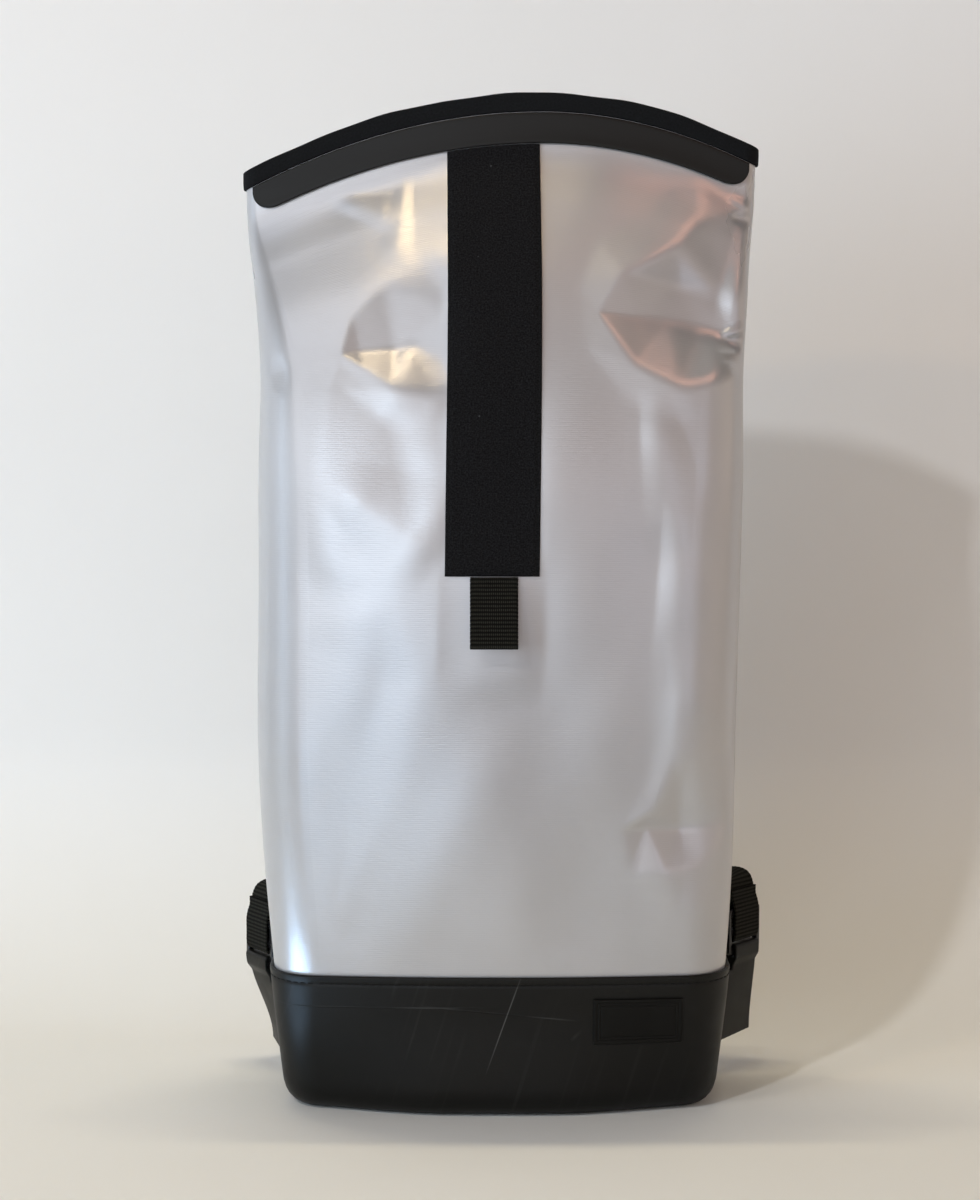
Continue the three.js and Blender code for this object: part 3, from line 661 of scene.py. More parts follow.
def cloth_places(tree, scale=(1, 1)):
    """Places on a cloth by its own measure, in metres, scaled across and along."""
    source = add_node(tree, "ShaderNodeUVMap", {}, uv_map="cloth")
    inputs = {"Vector": source.outputs[0], "Scale": (*scale, 1)}
    return add_node(tree, "ShaderNodeMapping", inputs).outputs[0]


def solid_places(tree, turn=(0, 0, 0)):
    """Places in the bag's own frame, in metres, turned by some degrees."""
    source = add_node(tree, "ShaderNodeTexCoord", {})
    inputs = {"Vector": source.outputs["Object"], "Rotation": tuple(map(math.radians, turn))}
    return add_node(tree, "ShaderNodeMapping", inputs).outputs[0]


def noise(tree, places, scale, detail=3.0, rough=0.5):
    inputs = {"Vector": places, "Scale": scale, "Detail": detail, "Roughness": rough}
    return add_node(tree, "ShaderNodeTexNoise", inputs).outputs[0]


def cells(tree, places, scale, randomness=1.0):
    inputs = {"Vector": places, "Scale": scale, "Randomness": randomness}
    return add_node(tree, "ShaderNodeTexVoronoi", inputs).outputs[0]


def waves(tree, places, scale, way, distortion, fineness):
    inputs = {"Vector": places, "Scale": scale, "Distortion": distortion, "Detail Scale": fineness}
    return add_node(tree, "ShaderNodeTexWave", inputs, bands_direction=way).outputs[0]


def spread(tree, value, low, high, to_low, to_high):
    """A value's range stretched to another one, held at its ends."""
    inputs = {"Value": value, "From Min": low, "From Max": high, "To Min": to_low, "To Max": to_high}
    return add_node(tree, "ShaderNodeMapRange", inputs).outputs[0]


def shaded(color, share):
    return tuple(share * part for part in color)


def tones(tree, value, stops):
    """Colours along a value, from stops of place and colour."""
    ramp = add_node(tree, "ShaderNodeValToRGB", {"Fac": value})
    elements = ramp.color_ramp.elements
    while len(elements) < len(stops):
        elements.new(0.5)
    for element, (place, color) in zip(elements, stops):
        element.position = place
        element.color = (*color, 1)
    return ramp.outputs[0]


def combine(tree, operation, first, *others):
    """Values put together one after another, by a sum, a product or the greatest of them."""
    for other in others:
        first = add_node(tree, "ShaderNodeMath", {0: first, 1: other}, operation=operation).outputs[0]
    return first


def bump(tree, main, layers):
    """Bumps laid over each other: a height, how strong and how deep in millimetres."""
    normal = None
    for height, strength, depth in layers:
        inputs = {"Height": height, "Strength": strength, "Distance": depth * MM}
        if normal is not None:
            inputs["Normal"] = normal
        normal = add_node(tree, "ShaderNodeBump", inputs).outputs[0]
    tree.links.new(normal, main.inputs["Normal"])


def feed(tree, main, **values):
    for socket, value in values.items():
        tree.links.new(value, main.inputs[socket.replace("_", " ").title()])


def line_mask(tree, start, end, width):
    """One along a straight line on the bag's front, in millimetres of x and z, fading at its ends."""
    start, end = Vector((start[0], 0, start[1])), Vector((end[0], 0, end[1]))
    run = (end - start) * MM
    length = run.length
    along, aside = run / length, Vector((run.z, 0, -run.x)) / length
    source = add_node(tree, "ShaderNodeTexCoord", {})
    offset = add_node(tree, "ShaderNodeVectorMath", {0: source.outputs["Object"], 1: tuple(start * MM)},
                      operation="SUBTRACT").outputs[0]

    def part(direction):
        inputs = {0: offset, 1: tuple(direction)}
        return add_node(tree, "ShaderNodeVectorMath", inputs, operation="DOT_PRODUCT").outputs["Value"]

    distance = add_node(tree, "ShaderNodeMath", {0: part(aside)}, operation="ABSOLUTE").outputs[0]
    thin = spread(tree, distance, 0, width * MM, 1, 0)
    place = part(along)
    begins = spread(tree, place, 0, 0.25 * length, 0, 1)
    finishes = spread(tree, place, 0.6 * length, length, 1, 0)
    ahead = spread(tree, part(Vector((0, -1, 0))), 0, 0.02, 0, 1)
    return combine(tree, "MULTIPLY", thin, ahead, begins, finishes)


def make_tarp():
    """Coated cloth: satin, with broken horizontal threads under the coat."""
    made, tree, main = new_finish("tarpaulin", (0.5, 0.5, 0.52), 0.4, metallic=0.52,
                                  coat_weight=0.2, coat_roughness=0.16)
    streaks = noise(tree, cloth_places(tree, (170, 950)), 1.0, 2.0)
    threads = waves(tree, cloth_places(tree), 299.0, "Y", distortion=1.5, fineness=3.0)
    upright = noise(tree, cloth_places(tree, (800, 40)), 1.0, 1.0)
    patches = noise(tree, cloth_places(tree, (11, 7)), 1.0, 4.0)
    feed(tree, main,
         base_color=tones(tree, patches, [(0.15, (0.45, 0.45, 0.467)), (0.85, (0.54, 0.54, 0.557))]),
         roughness=spread(tree, patches, 0.15, 0.85, 0.245, 0.365))
    bump(tree, main, [(streaks, 0.5, 0.1), (threads, 0.35, 0.05), (upright, 0.15, 0.05)])
    return made


def make_rubber():
    """Old inner-tube rubber: satin, with drawn mould lines, a crease and pale scratches; the mould lines are
    drawn lighter towards the left, which is painted sheen.
    """
    made, tree, main = new_finish("rubber", (0.008, 0.008, 0.0075), 0.45, specular_ior_level=0.22)
    grain = cells(tree, solid_places(tree), 1100.0)
    cloudy = noise(tree, solid_places(tree), 26.0, 5.0, 0.6)
    leaning = solid_places(tree, turn=(0, -17, 0))
    stretched = add_node(tree, "ShaderNodeMapping", {"Vector": leaning, "Scale": (300, 1, 5)}).outputs[0]
    lines = spread(tree, noise(tree, stretched, 1.0, 1.0), 0.58, 0.7, 0, 1)
    across = add_node(tree, "ShaderNodeSeparateXYZ", {"Vector": solid_places(tree)}).outputs[0]
    # mould lines stronger towards the left: partly real mould lines, partly painted sheen on that side
    fading = combine(tree, "MULTIPLY", lines, spread(tree, across, -0.1, 0.03, 1, 0.25))
    broken = spread(tree, noise(tree, leaning, 14.0, 2.0), 0.45, 0.65, 0, 1)
    drawn = combine(tree, "MULTIPLY", fading, broken)
    scratch = line_mask(tree, (12.5, 82), (-8, 24), 0.45)
    crease = combine(tree, "MAXIMUM", line_mask(tree, (-125, 61), (10, 61.4), 0.5),
                     line_mask(tree, (-45, 62.5), (58, 52.5), 0.5))
    scuff = line_mask(tree, (38, 43), (48, 53), 1.3)
    worn = combine(tree, "MULTIPLY", combine(tree, "MAXIMUM", crease, scuff), broken)
    # pale marks: real scratches and a worn crease, and the mould lines with their painted sheen
    marked = combine(tree, "MAXIMUM", scratch, worn, combine(tree, "MULTIPLY", drawn, 0.22))
    feed(tree, main,
         base_color=tones(tree, marked, [(0.0, (0.0035, 0.0035, 0.0028)), (1.0, (0.075, 0.075, 0.072))]),
         roughness=spread(tree, cloudy, 0.3, 0.7, 0.36, 0.56))
    bump(tree, main, [(grain, 0.12, 0.15), (cloudy, 0.1, 0.8), (drawn, 0.25, 0.15), (crease, 0.5, 0.3)])
    return made


def make_woven(name, color, roughness, across, along, depth, ribbed=False):
    """A plain woven band, by the cloth's own measure: threads across and along it at some pitches. When
    ribbed, its colour is lighter on the threads and darker between them: painted highlight and painted shade.
    """
    made, tree, main = new_finish(name, color, roughness, specular_ior_level=0.07)
    places = cloth_places(tree)
    threads = [waves(tree, places, WAVE_PITCH / pitch, way, distortion=0.6, fineness=2.0)
               for pitch, way in ((across, "X"), (along, "Y"))]
    weave = combine(tree, "MULTIPLY", *threads)
    fuzz = noise(tree, places, 900.0, 2.0)
    # ribbed: painted highlight on the ribs' crowns and painted shade between them; otherwise the colour
    # wanders with the fuzz
    shade, stops = (weave, [(0.0, 0.3), (0.8, 4.0)]) if ribbed else (fuzz, [(0.3, 0.75), (0.7, 1.3)])
    colors = [(place, shaded(color, share)) for place, share in stops]
    feed(tree, main, base_color=tones(tree, shade, colors))
    bump(tree, main, [(weave, 0.5, depth), (fuzz, 0.2, 0.1)])
    return made


def make_stiffener():
    """Semi-gloss plastic strip with slight smears."""
    made, tree, main = new_finish("stiffener", (0.01, 0.0095, 0.007), 0.33, specular_ior_level=0.22)
    smears = noise(tree, cloth_places(tree, (9, 60)), 1.0, 4.0)
    grain = noise(tree, cloth_places(tree), 1400.0, 1.0)
    feed(tree, main, roughness=spread(tree, smears, 0.3, 0.7, 0.26, 0.42),
         base_color=tones(tree, smears, [(0.3, (0.006, 0.006, 0.0055)), (0.7, (0.009, 0.0087, 0.008))]))
    bump(tree, main, [(grain, 0.08, 0.05), (smears, 0.1, 0.3)])
    return made


def make_hook_loop():
    """Black pile: dull, fuzzy, with a few pale specks of lint."""
    made, tree, main = new_finish("hook_loop", (0.007, 0.007, 0.008), 0.95, specular_ior_level=0.08)
    places = cloth_places(tree)
    pile = noise(tree, places, 1100.0, 3.0, 0.7)
    matted = noise(tree, places, 120.0, 3.0)
    lint = spread(tree, cells(tree, places, 75.0), 0.02, 0.05, 0.5, 0)
    shade = combine(tree, "MAXIMUM", spread(tree, pile, 0.35, 0.75, 0, 0.18), lint)
    colors = [(0.0, (0.0025, 0.0025, 0.003)), (1.0, (0.1, 0.1, 0.105))]
    feed(tree, main, base_color=tones(tree, shade, colors))
    bump(tree, main, [(pile, 0.6, 0.5), (matted, 0.3, 0.6)])
    return made


def make_padding():
    """Open black mesh cloth over foam, its holes painted darker as shade in them."""
    made, tree, main = new_finish("padding", (0.012, 0.012, 0.013), 0.85,
                                  sheen_weight=0.2, sheen_roughness=0.5)
    places = cloth_places(tree)
    holes = cells(tree, places, 420.0, randomness=0.15)
    worn = noise(tree, places, 30.0, 4.0)
    # darker at the holes' middles: painted shade in the holes, with wear that wanders over it
    shade = combine(tree, "MULTIPLY", holes, worn)
    colors = [(0.05, (0.006, 0.006, 0.006)), (0.6, (0.024, 0.024, 0.025))]
    feed(tree, main, base_color=tones(tree, shade, colors))
    bump(tree, main, [(holes, 0.5, 0.4), (worn, 0.1, 1.0)])
    return made


def make_moulded(name, color, low, high, grain, shine=0.5):
    """Moulded plastic or rubber: fine grain and a roughness that wanders."""
    made, tree, main = new_finish(name, color, (low + high) / 2, specular_ior_level=shine)
    handled = noise(tree, solid_places(tree), 60.0, 4.0)
    speck = noise(tree, solid_places(tree), 1500.0, 1.0)
    colors = [(0.3, shaded(color, 0.8)), (0.7, shaded(color, 1.3))]
    feed(tree, main, roughness=spread(tree, handled, 0.3, 0.7, low, high),
         base_color=tones(tree, handled, colors))
    bump(tree, main, [(speck, grain, 0.06), (handled, 0.05, 0.4)])
    return made


def make_paper():
    """Pale paper, darker and a little warmer on the floor as painted shade, and clear from behind so that it
    never hides the bag.
    """
    made, tree, main = new_finish("paper", (0.86, 0.84, 0.815), 0.9, specular_ior_level=0.1)
    mottle = noise(tree, solid_places(tree), 5.0, 2.0)
    height = add_node(tree, "ShaderNodeSeparateXYZ", {"Vector": solid_places(tree)}).outputs[2]
    # the floor part of the sweep is coloured darker and warmer than the wall: painted shade, tinted warm
    rise = spread(tree, height, 0.0, 0.14, 0.1, 0.7)
    floor_shade_and_mottle = combine(tree, "ADD", rise, combine(tree, "MULTIPLY", mottle, 0.2))
    colors = [(0.2, (0.74, 0.73, 0.705)), (0.8, (0.86, 0.855, 0.848))]
    feed(tree, main, base_color=tones(tree, floor_shade_and_mottle, colors))
    facing = add_node(tree, "ShaderNodeNewGeometry", {}).outputs["Backfacing"]
    clear = add_node(tree, "ShaderNodeBsdfTransparent", {})
    inputs = {0: facing, 1: main.outputs[0], 2: clear.outputs[0]}
    mixed = add_node(tree, "ShaderNodeMixShader", inputs)
    tree.links.new(mixed.outputs[0], tree.nodes["Material Output"].inputs["Surface"])
    return made


def make_body(finish):
    """The tarpaulin tube: its outside with every fold, and its inside."""
    outer_levels = np.concatenate([
        np.linspace(TUBE_FOOT, BOOT_TOP, ROWS["in_boot"])[:-1],
        np.linspace(BOOT_TOP, STIFFENER_FOOT, ROWS["cloth"]),
        np.linspace(STIFFENER_FOOT, LIP_TOP, ROWS["lip"])[1:],
    ])
    inner_levels = np.linspace(LIP_TOP, TUBE_FOOT, ROWS["inside"])
    outer = tube_rings(outer_levels, TARP / 2)
    inner = tube_rings(inner_levels, -TARP / 2)
    along = np.concatenate([outer_levels, 2 * LIP_TOP - inner_levels])
    shape = skin(np.concatenate([outer, inner]), around(outer), along, loop=True)
    return add_piece("tarpaulin_tube", shape, finish, "body_shell")


def boot_bulge(x, level):
    """How far the boot's low front and back stand out in the middle, and draw in at the corners."""
    middle, corners = BOOT_BULGE["middle"], BOOT_BULGE["corners"]
    across = smoothstep(np.abs(x), BOOT_BULGE["from"], BOOT_BULGE["to"])
    return lerp(middle, -corners, across) * (1 - smoothstep(level, 0, BOOT_BULGE["fades"]))


def make_boot(rubber, thread):
    """The rubber boot with its rounded foot and rim, and the seam that holds the tube."""
    wall = OUTSIDE + RUBBER
    foot = [(level, wall - inset) for level, inset in BOOT_FOOT]
    rise = [(level, wall) for level in np.concatenate([np.linspace(16, 68, 24), np.linspace(69, 77, 22)])]
    rim = [(BOOT_TOP - 0.5, wall - 0.06), (BOOT_TOP - 0.15, wall - 0.35), (BOOT_TOP, wall - 0.8),
           (BOOT_TOP, OUTSIDE + 0.5), (BOOT_TOP - 0.3, OUTSIDE + 0.05), (BOOT_TOP - 1, OUTSIDE)]
    inside = [(level, OUTSIDE) for level in np.linspace(72, 14, 12)]
    floor = [(8, OUTSIDE - 0.6), (5, OUTSIDE - 2), (3.6, OUTSIDE - 4), (BOOT_FLOOR, OUTSIDE - 8)]
    profile = np.array(foot + rise + rim + inside + floor)
    seam = BOOT_TOP - SEAM_DROP
    groove = SEAM_GROOVE["deep"] * np.exp(-((profile[:, 0] - seam) / SEAM_GROOVE["wide"]) ** 2)
    groove = np.where(profile[:, 1] > OUTSIDE + 1, groove, 0)
    rings = tube_rings(profile[:, 0], profile[:, 1] - groove)
    facing = np.clip(rings[..., 1] / BOOT_BULGE["turns"], -1, 1)
    rings[..., 1] += facing * boot_bulge(rings[..., 0], profile[:, :1])
    shape = skin(rings, around(rings), lengths(rings[:, 0]), caps=True)
    add_piece("rubber_boot", shape, rubber, "base_boot")
    line = tube_rings([seam], wall - 0.2)[0]
    line = np.vstack([line, line[:1]])
    add_stitches("boot_seam", [line], thread, "rubber", *STITCHES["boot"])


def lip_kinks(x):
    """Small kinks of the bound edge."""
    return 0.3 * np.sin(x / 7.1 + 0.6) * np.sin(x / 19 + 2) + 0.22 * np.sin(x / 12.3 + 1)


def make_binding(finish):
    """The folded band over the mouth's edge."""
    lay = OUTSIDE + BINDING
    crown = LIP_TOP + GAP
    angles = np.linspace(0, math.pi, 13)
    outer = [(BINDING_FOOT, OUTSIDE + 0.25), (BINDING_FOOT + 0.1, lay - 0.3), (BINDING_FOOT + 0.5, lay)]
    leg = [(level, lay + 0.15 * math.sin((level - BINDING_FOOT) / BINDING_TALL * math.pi))
           for level in np.linspace(BINDING_FOOT + 1.2, LIP_TOP - 0.4, 8)]
    top = [(crown + 1.5 * math.sin(angle), lay * math.cos(angle)) for angle in angles]
    back = [(level, -offset) for level, offset in reversed(outer + leg)]
    within = [(BINDING_FOOT, -OUTSIDE), (crown, -OUTSIDE), (crown, OUTSIDE), (BINDING_FOOT, OUTSIDE)]
    profile = np.array(outer + leg + top + back + within)
    rings = tube_rings(profile[:, 0], profile[:, 1])
    share = smoothstep(profile[:, 0], BINDING_FOOT, LIP_TOP)[:, None]
    rings[..., 2] += lip_kinks(rings[..., 0]) * share
    shape = skin(rings, around(rings), np.arange(len(profile)) * 1.0, loop=True)
    add_piece("lip_binding", shape, finish, "mouth_binding")


def make_lip_stiffener(finish):
    """A strip of even height along the lip, whose lower corners are round."""
    tall = BINDING_FOOT - GAP - STIFFENER_FOOT

    def place(x, y, offset):
        into = np.maximum(0, np.abs(x) - (STIFFENER_END - STIFFENER_ROUND))
        foot = STIFFENER_FOOT + STIFFENER_ROUND - np.sqrt(STIFFENER_ROUND ** 2 - into ** 2)
        return face_point(x, lerp(foot, BINDING_FOOT - GAP, y / tall), OUTSIDE + offset)

    xs = STIFFENER_END * np.sin(np.linspace(-math.pi / 2, math.pi / 2, 160))
    shape = pillow(xs, edged(0, tall, 1.4, 0.7), place, STIFFENER, 0.7)
    add_piece("lip_stiffener_strip", shape, finish, "lip_stiffener")


def make_strip(finish):
    """The hook-and-loop tape: raised pile between two flat selvedges."""
    chance = np.random.default_rng(11)

    def relief(x, y):
        from_side = np.minimum(x - STRIP[0], STRIP[1] - x)
        pile = PILE["high"] * smoothstep(from_side, *PILE["selvedge"])
        return pile * (1 + PILE["uneven"] * chance.standard_normal(x.shape))

    def place(x, y, offset):
        return face_point(x, y, OUTSIDE + GAP / 3 + offset, folded=True)

    xs = edged(*STRIP, 0.8, 0.5)
    ys = edged(STRIP_FOOT, STIFFENER_FOOT - GAP, 1.0, 0.5)
    shape = pillow(xs, ys, place, TAPE, 0.5, relief)
    add_piece("closure_tape", shape, finish, "closure_strip")


def band(path, facing, wide, thick, edge, step, puff=None, relief=None):
    """A flat band along a path, with rounded edges: its rings, and where the band's middle faces."""
    along = unit(np.gradient(path, axis=0))
    facing = unit(facing - (facing * along).sum(1)[:, None] * along)
    across = np.cross(along, facing)
    half = np.broadcast_to(np.asarray(wide, float), len(path))[:, None] / 2
    thick = np.broadcast_to(np.asarray(thick, float), len(path))[:, None]
    base = edged(-1, 1, step / half.mean(), edge / half.mean())
    aside = base[None, :] * half
    to_edge = half - np.abs(aside)
    swell = np.sqrt(np.maximum(0, 1 - np.clip(1 - to_edge / edge, 0, 1) ** 2))
    length = lengths(path)
    deep = thick / 2 * swell * (1 if puff is None else puff(to_edge))
    if relief is not None:
        deep = deep + relief(aside, length[:, None]) * swell
    middle = path[:, None] + across[:, None] * aside[..., None]
    upper = middle + facing[:, None] * deep[..., None]
    lower = middle - facing[:, None] * deep[..., None]
    rings = np.concatenate([upper, lower[:, -2:0:-1]], 1)
    return rings, length, across, facing


def add_band(name, rings, length, finish, node):
    return add_piece(name, skin(rings, around(rings), length, caps=True), finish, node)


def woven_relief(weave, aside, length, offset=0):
    """Ribs across a webbing and cords along it."""
    ribs = weave["rib_high"] * np.cos(2 * math.pi * length / weave["rib"])
    return ribs + weave["cord_high"] * np.cos(2 * math.pi * (aside / weave["cord"] + offset))


def make_tab(finish):
    """A loop of ribbed webbing, folded up at its foot, that hangs under the strip."""
    levels = np.linspace(TAB_FOOT, STRIP_FOOT, 5)
    back = face_point(TAB[0], levels, OUTSIDE)[:, 1].min() - GAP
    bend = WEBBING + TAB_OPENING / 2
    turn = bend - WEBBING / 2
    head = STRIP_FOOT - GAP
    down = np.linspace(head, TAB_FOOT + bend, TAB_STEPS)
    flat = np.ones(TAB_STEPS)
    angles = np.linspace(0, math.pi, 26)[1:-1]
    depth = np.concatenate([-WEBBING / 2 * flat, turn * np.cos(angles) - bend, -(turn + bend) * flat])
    height = np.concatenate([down, TAB_FOOT + bend - turn * np.sin(angles), down[::-1]])
    swing = TAB_SWING * (head - height) / (head - TAB_FOOT)
    middle, half = sum(TAB) / 2, (TAB[1] - TAB[0]) / 2
    path = np.stack([np.full(len(depth), middle), back + depth - swing, height], 1)
    bent = np.stack([0 * angles, np.cos(angles), -np.sin(angles)], 1)
    facing = np.concatenate([np.outer(flat, (0, 1, 0)), bent, np.outer(flat, (0, -1, 0))])

    def relief(aside, length):
        offset = 0.5 * np.floor(length / TAB_WEAVE["rib"])
        return woven_relief(TAB_WEAVE, aside, length, offset) - TAB_WEAVE["rib_high"]

    rings, length, *_ = band(path, facing, 2 * half - 0.4, WEBBING, 0.5, 0.33, relief=relief)
    scallop = TAB_WEAVE["scallop"] * np.cos(2 * math.pi * length / TAB_WEAVE["rib"])
    aside = rings[..., 0] - middle
    rings[..., 0] += np.where(np.abs(aside) > half - 1, np.sign(aside), 0) * scallop[:, None]
    add_band("webbing_tab", rings, length, finish, "pull_tab")


def make_label(finish):
    """The bare patch on the boot, with a double line pressed around it."""
    left, right, foot, head = LABEL
    lay = OUTSIDE + RUBBER + GAP + GAP / 3

    def relief(x, y):
        inset = np.minimum.reduce([x - left, right - x, y - foot, head - y])
        lines = sum(np.exp(-((inset - line) / LABEL_LINES["wide"]) ** 2) for line in LABEL_LINES["insets"])
        return -LABEL_LINES["deep"] * lines

    def place(x, y, offset):
        return face_point(x, y, lay + offset + boot_bulge(x, y))

    shape = pillow(edged(left, right, 0.3, 0.5), edged(foot, head, 0.3, 0.5), place, PATCH, 0.5, relief)
    add_piece("bare_label", shape, finish, "label_patch")


def mirrored(points, sign):
    return points * np.array([sign, 1, 1])


def strap_line(count):
    """The strap's middle line, where it faces, and its widths and thicknesses, on the +X side."""
    back = face_point(STRAP[:, 0], STRAP[:, 1], OUTSIDE, 1)[:, 1]
    depth = back + GAP + STRAP[:, 4] / 2 + STRAP[:, 2]
    table = np.column_stack([np.arange(len(STRAP)), STRAP[:, 0], depth, STRAP[:, 1], STRAP[:, 3:]])
    values = smooth_read(table, np.linspace(0, len(STRAP) - 1, count))
    turn = np.radians(values[:, 5])
    facing = np.stack([np.sin(turn), np.cos(turn), 0 * turn], 1)
    return values[:, :3], facing, values[:, 3], values[:, 4]


def make_strap(side, cover, thread):
    """A padded strap with a flat bound edge, sewn along it."""
    path, facing, wide, thick = strap_line(120)

    def puff(to_edge):
        return 0.5 + 0.5 * smoothstep(to_edge, STRAP_FLANGE - 1, STRAP_FLANGE + 8)

    rings, length, across, facing = band(path, facing, wide, thick, 1.6, 1.6, puff=puff)
    strap = add_band(f"padded_strap_{side.name}", mirrored(rings, side.sign), length, cover,
                     f"shoulder_strap_{side.name}")
    reach = wide[:, None] / 2 - 0.7 * STRAP_FLANGE
    high = thick[:, None] / 4 + 0.1
    lines = [path + way * across * reach + out * facing * high for way in (-1, 1) for out in (-1, 1)]
    lines = [mirrored(line, side.sign) for line in lines]
    add_stitches(f"strap_seams_{side.name}", lines, thread, "padding", *STITCHES["strap"])


def make_strap_webbing(side, finish):
    """Webbing folded round the buckle's bars, bent over inward and up again to the strap's end."""
    turn = math.radians(side.turn)
    out = np.array((-math.sin(turn), math.cos(turn), 0))
    up = np.array((0, 0, 1.0))
    bar = np.array((side.x, side.y, side.foot + LOCK_TALL - LOCK_BAR / 2))
    wrap = bar + BAR_WRAP[:, :1] * out + BAR_WRAP[:, 1:] * up
    around_bar = np.gradient(BAR_WRAP, axis=0)
    wrap_facing = around_bar[:, 1:] * out - around_bar[:, :1] * up
    path, facing, *_ = strap_line(120)
    end, along = path[-1], unit(path[-1] - path[-6])
    crest = bar + TAIL_INWARD * out + (TAIL_RISE - TAIL_THICK + TAIL_UP) * up
    tail = np.array([crest, end + TAIL_LEAD * along, end + GAP * along])
    tail_facing = unit(np.array([out - up, facing[-1] - up, facing[-1]]))
    points = np.vstack([wrap, tail])
    facings = np.vstack([unit(wrap_facing), tail_facing])
    steps = lengths(points)
    values = smooth_read(np.column_stack([steps, points, facings]), np.linspace(0, steps[-1], 150))

    def relief(aside, length):
        return woven_relief(TAIL_WEAVE, aside, length) - TAIL_WEAVE["sunk"]

    rings, length, *_ = band(values[:, :3], values[:, 3:], LOCK_WEB - 0.4, WEBBING, 0.5, 0.6, relief=relief)
    add_band(f"strap_tail_{side.name}", mirrored(rings, side.sign), length, finish,
             f"strap_webbing_{side.name}")


def moulded_copy(node, name, finish, voxel, passes):
    """A copy of a plain solid with its edges rounded off as moulding leaves them."""
    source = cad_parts[node]
    work = bpy.data.objects.new(name, source.data.copy())
    work.matrix_world = source.matrix_world
    bpy.context.scene.collection.objects.link(work)
    remesh = work.modifiers.new("even", "REMESH")
    remesh.mode = "VOXEL"
    remesh.voxel_size = voxel * MM
    soften = work.modifiers.new("soften", "SMOOTH")
    soften.factor = 0.5
    soften.iterations = passes
    bpy.context.view_layer.update()
    shaped = bpy.data.meshes.new_from_object(work.evaluated_get(bpy.context.evaluated_depsgraph_get()))
    shaped.transform(work.matrix_world)
    bpy.data.objects.remove(work)
    return add_object(name, shaped, finish, node)


def twist_tab(tab, side):
    """Lays a rubber tab's foot closer along the boot, turning it about the edge next to the boot."""
    places = np.empty(len(tab.data.vertices) * 3)
    tab.data.vertices.foreach_get("co", places)
    places = places.reshape(-1, 3) / MM
    inner = places[np.argmin(side.sign * places[:, 0])]
    foot, head = places[:, 2].min(), places[:, 2].max()
    turn = -side.sign * np.radians(side.twist) * (1 - smoothstep(places[:, 2], foot, head))
    x, y = places[:, 0] - inner[0], places[:, 1] - inner[1]
    places[:, 0] = inner[0] + x * np.cos(turn) + y * np.sin(turn)
    places[:, 1] = inner[1] - x * np.sin(turn) + y * np.cos(turn)
    tab.data.vertices.foreach_set("co", (places * MM).ravel())
    tab.data.update()


def make_yoke(cover, thread):
    """The patch that holds both straps at the top of the back, sewn around and crossed over each strap."""
    half, foot, head = YOKE_PATCH

    def place(x, y, offset):
        return face_point(x, y, OUTSIDE + GAP / 2 + offset, 1)

    shape = pillow(edged(-half, half, 2, 1.2), edged(foot, head, 2, 1.2), place, YOKE, 1.2)
    add_piece("strap_yoke_patch", shape, cover, "strap_yoke")

    def sewn(start, end):
        t = np.linspace(0, 1, 40)
        return place(lerp(start[0], end[0], t), lerp(start[1], end[1], t), YOKE - 0.1)

    def corners(near, far, inset):
        return [(near, foot + inset), (far, foot + inset), (far, head - inset), (near, head - inset)]

    inset, cross = YOKE_SEWN["inset"], YOKE_SEWN["cross"]
    box = corners(inset - half, half - inset, inset)
    lines = [sewn(box[i], box[(i + 1) % 4]) for i in range(4)]
    for middle in (-YOKE_SEWN["strap"], YOKE_SEWN["strap"]):
        box = corners(middle - YOKE_SEWN["half"], middle + YOKE_SEWN["half"], cross)
        lines += [sewn(box[i], box[j]) for i, j in ((0, 2), (3, 1), (0, 3), (1, 2))]
    add_stitches("yoke_seams", lines, thread, "padding", *STITCHES["yoke"])


def make_backdrop():
    """Pale paper on the floor that sweeps up into a wall close behind the bag."""
    wall, bend, wide = PAPER["wall"], PAPER["bend"], PAPER["wide"]
    angles = np.linspace(0, math.pi / 2, 24)
    profile = [(PAPER["near"], 0.0)]
    profile += [(wall - bend + bend * math.sin(angle), bend - bend * math.cos(angle)) for angle in angles]
    profile.append((wall, PAPER["high"]))
    points = [(x, y, z) for y, z in profile for x in (-wide, wide)]
    faces = [(2 * i, 2 * i + 1, 2 * i + 3, 2 * i + 2) for i in range(len(profile) - 1)]
    mesh = bpy.data.meshes.new("paper_sweep")
    mesh.from_pydata(points, [], faces)
    mesh.polygons.foreach_set("use_smooth", np.ones(len(faces), bool))
    mesh.materials.append(make_paper())
    sweep = bpy.data.objects.new("paper_sweep", mesh)
    bpy.context.scene.collection.objects.link(sweep)


def add_light(light, glossy):
    """A soft rectangular light, turned to its target, that lights the room or only shows in its gloss."""
    data = bpy.data.lights.new(light.name, "AREA")
    data.shape = "RECTANGLE"
    data.size, data.size_y = light.size
    data.color = light.color
    data.energy = light.power
    lamp = bpy.data.objects.new(light.name, data)
    lamp.location = light.place
    aim = Vector(light.target) - Vector(light.place)
    lamp.rotation_euler = aim.to_track_quat("-Z", "Y").to_euler()
    lamp.visible_camera = False
    lamp.visible_diffuse = not glossy
    lamp.visible_glossy = glossy
    bpy.context.scene.collection.objects.link(lamp)


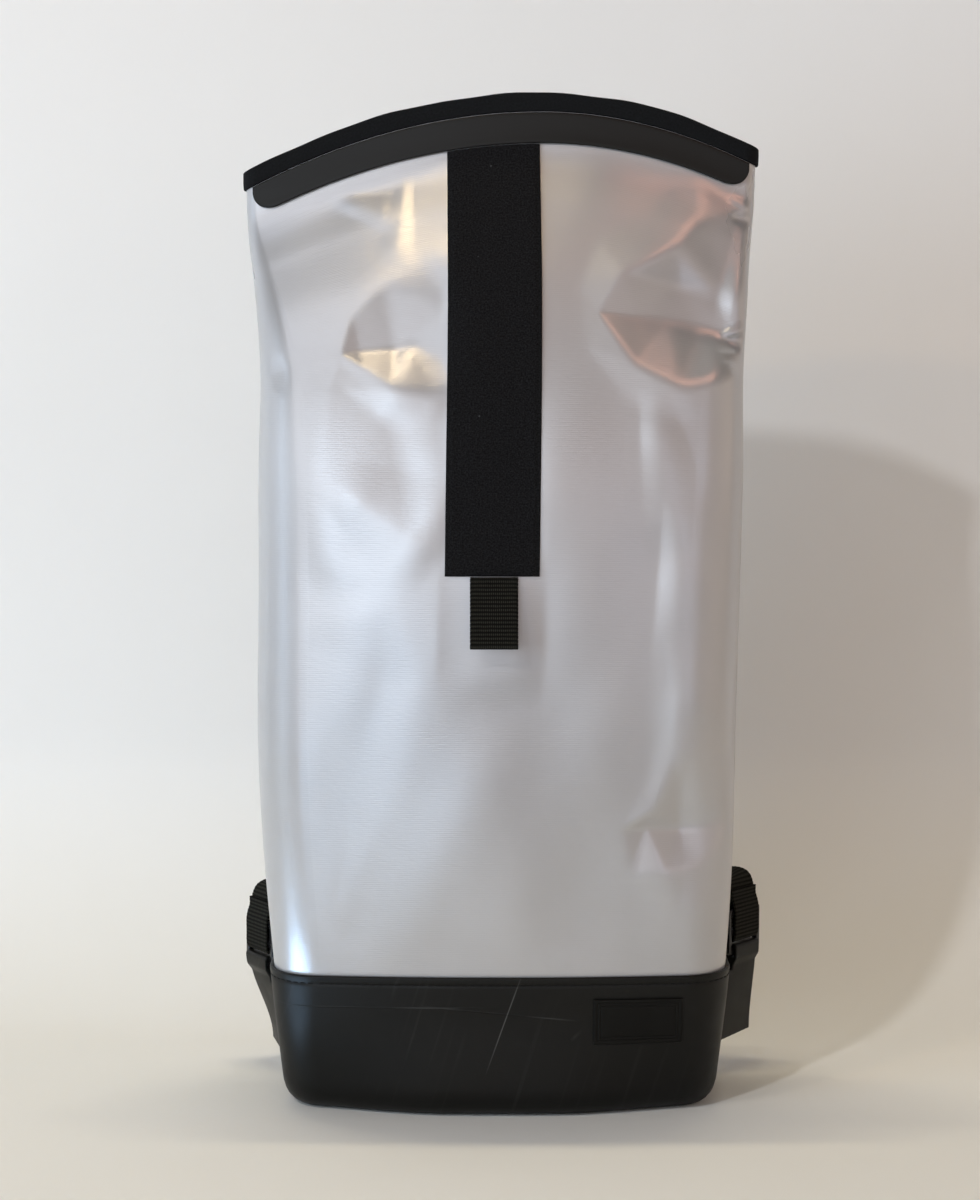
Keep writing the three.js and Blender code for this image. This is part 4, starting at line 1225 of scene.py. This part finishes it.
def light_scene():
    """A pale room: cool to the left and above, warm to the right and below, with soft windows."""
    world = bpy.data.worlds.new("room")
    world.use_nodes = True
    tree = world.node_tree
    places = add_node(tree, "ShaderNodeTexCoord", {}).outputs["Generated"]
    split = add_node(tree, "ShaderNodeSeparateXYZ", {"Vector": places})
    aside = spread(tree, split.outputs[0], -1, 1, 0, 1)
    upward = spread(tree, split.outputs[2], -1, 1, 0, 1)
    walls = tones(tree, aside, WALL_TONES)
    heights = tones(tree, upward, HEIGHT_TONES)
    color = add_node(tree, "ShaderNodeVectorMath", {0: walls, 1: heights}, operation="MULTIPLY").outputs[0]
    tree.links.new(color, tree.nodes["Background"].inputs["Color"])
    tree.nodes["Background"].inputs["Strength"].default_value = ROOM_STRENGTH
    bpy.context.scene.world = world
    for light in LIT:
        add_light(light, glossy=False)
    for light in GLOSSY:
        add_light(light, glossy=True)


def place_camera():
    data = bpy.data.cameras.new("portrait")
    data.sensor_fit = "VERTICAL"
    data.sensor_height = CAMERA["sensor"]
    data.lens = CAMERA["lens"]
    camera = bpy.data.objects.new("portrait", data)
    camera.location = CAMERA["place"]
    camera.rotation_euler = (math.radians(90 - CAMERA["pitch"]), 0, 0)
    bpy.context.scene.collection.objects.link(camera)
    bpy.context.scene.camera = camera


def main():
    place_camera()
    make_backdrop()
    light_scene()
    bpy.context.scene.view_settings.view_transform = "Standard"
    tarp, rubber = make_tarp(), make_rubber()
    # the webbing's ribs carry painted highlight and painted shade in their colour
    webbing = make_woven("webbing", (0.008, 0.0078, 0.0062), 0.8, 1.05, 2.15, 0.2, ribbed=True)
    bound = make_woven("binding", (0.0075, 0.0082, 0.0092), 0.75, 0.9, 0.9, 0.08)
    pad = make_padding()
    thread = make_woven("thread", (0.012, 0.012, 0.012), 0.6, 0.5, 0.5, 0.05)
    buckle = make_moulded("buckle", (0.008, 0.008, 0.009), 0.2, 0.34, 0.05)
    body = make_body(tarp)
    make_boot(rubber, thread)
    make_binding(bound)
    make_lip_stiffener(make_stiffener())
    make_strip(make_hook_loop())
    make_tab(webbing)
    make_label(make_moulded("label", (0.0025, 0.0025, 0.002), 0.4, 0.55, 0.12, 0.15))
    make_yoke(pad, thread)
    for side in SIDES:
        make_strap(side, pad, thread)
        make_strap_webbing(side, webbing)
        moulded_copy(f"ladder_lock_{side.name}", f"buckle_{side.name}", buckle, voxel=0.5, passes=4)
        tab = moulded_copy(f"anchor_tab_{side.name}", f"rubber_tab_{side.name}", rubber,
                           voxel=0.7, passes=3)
        twist_tab(tab, side)


main()
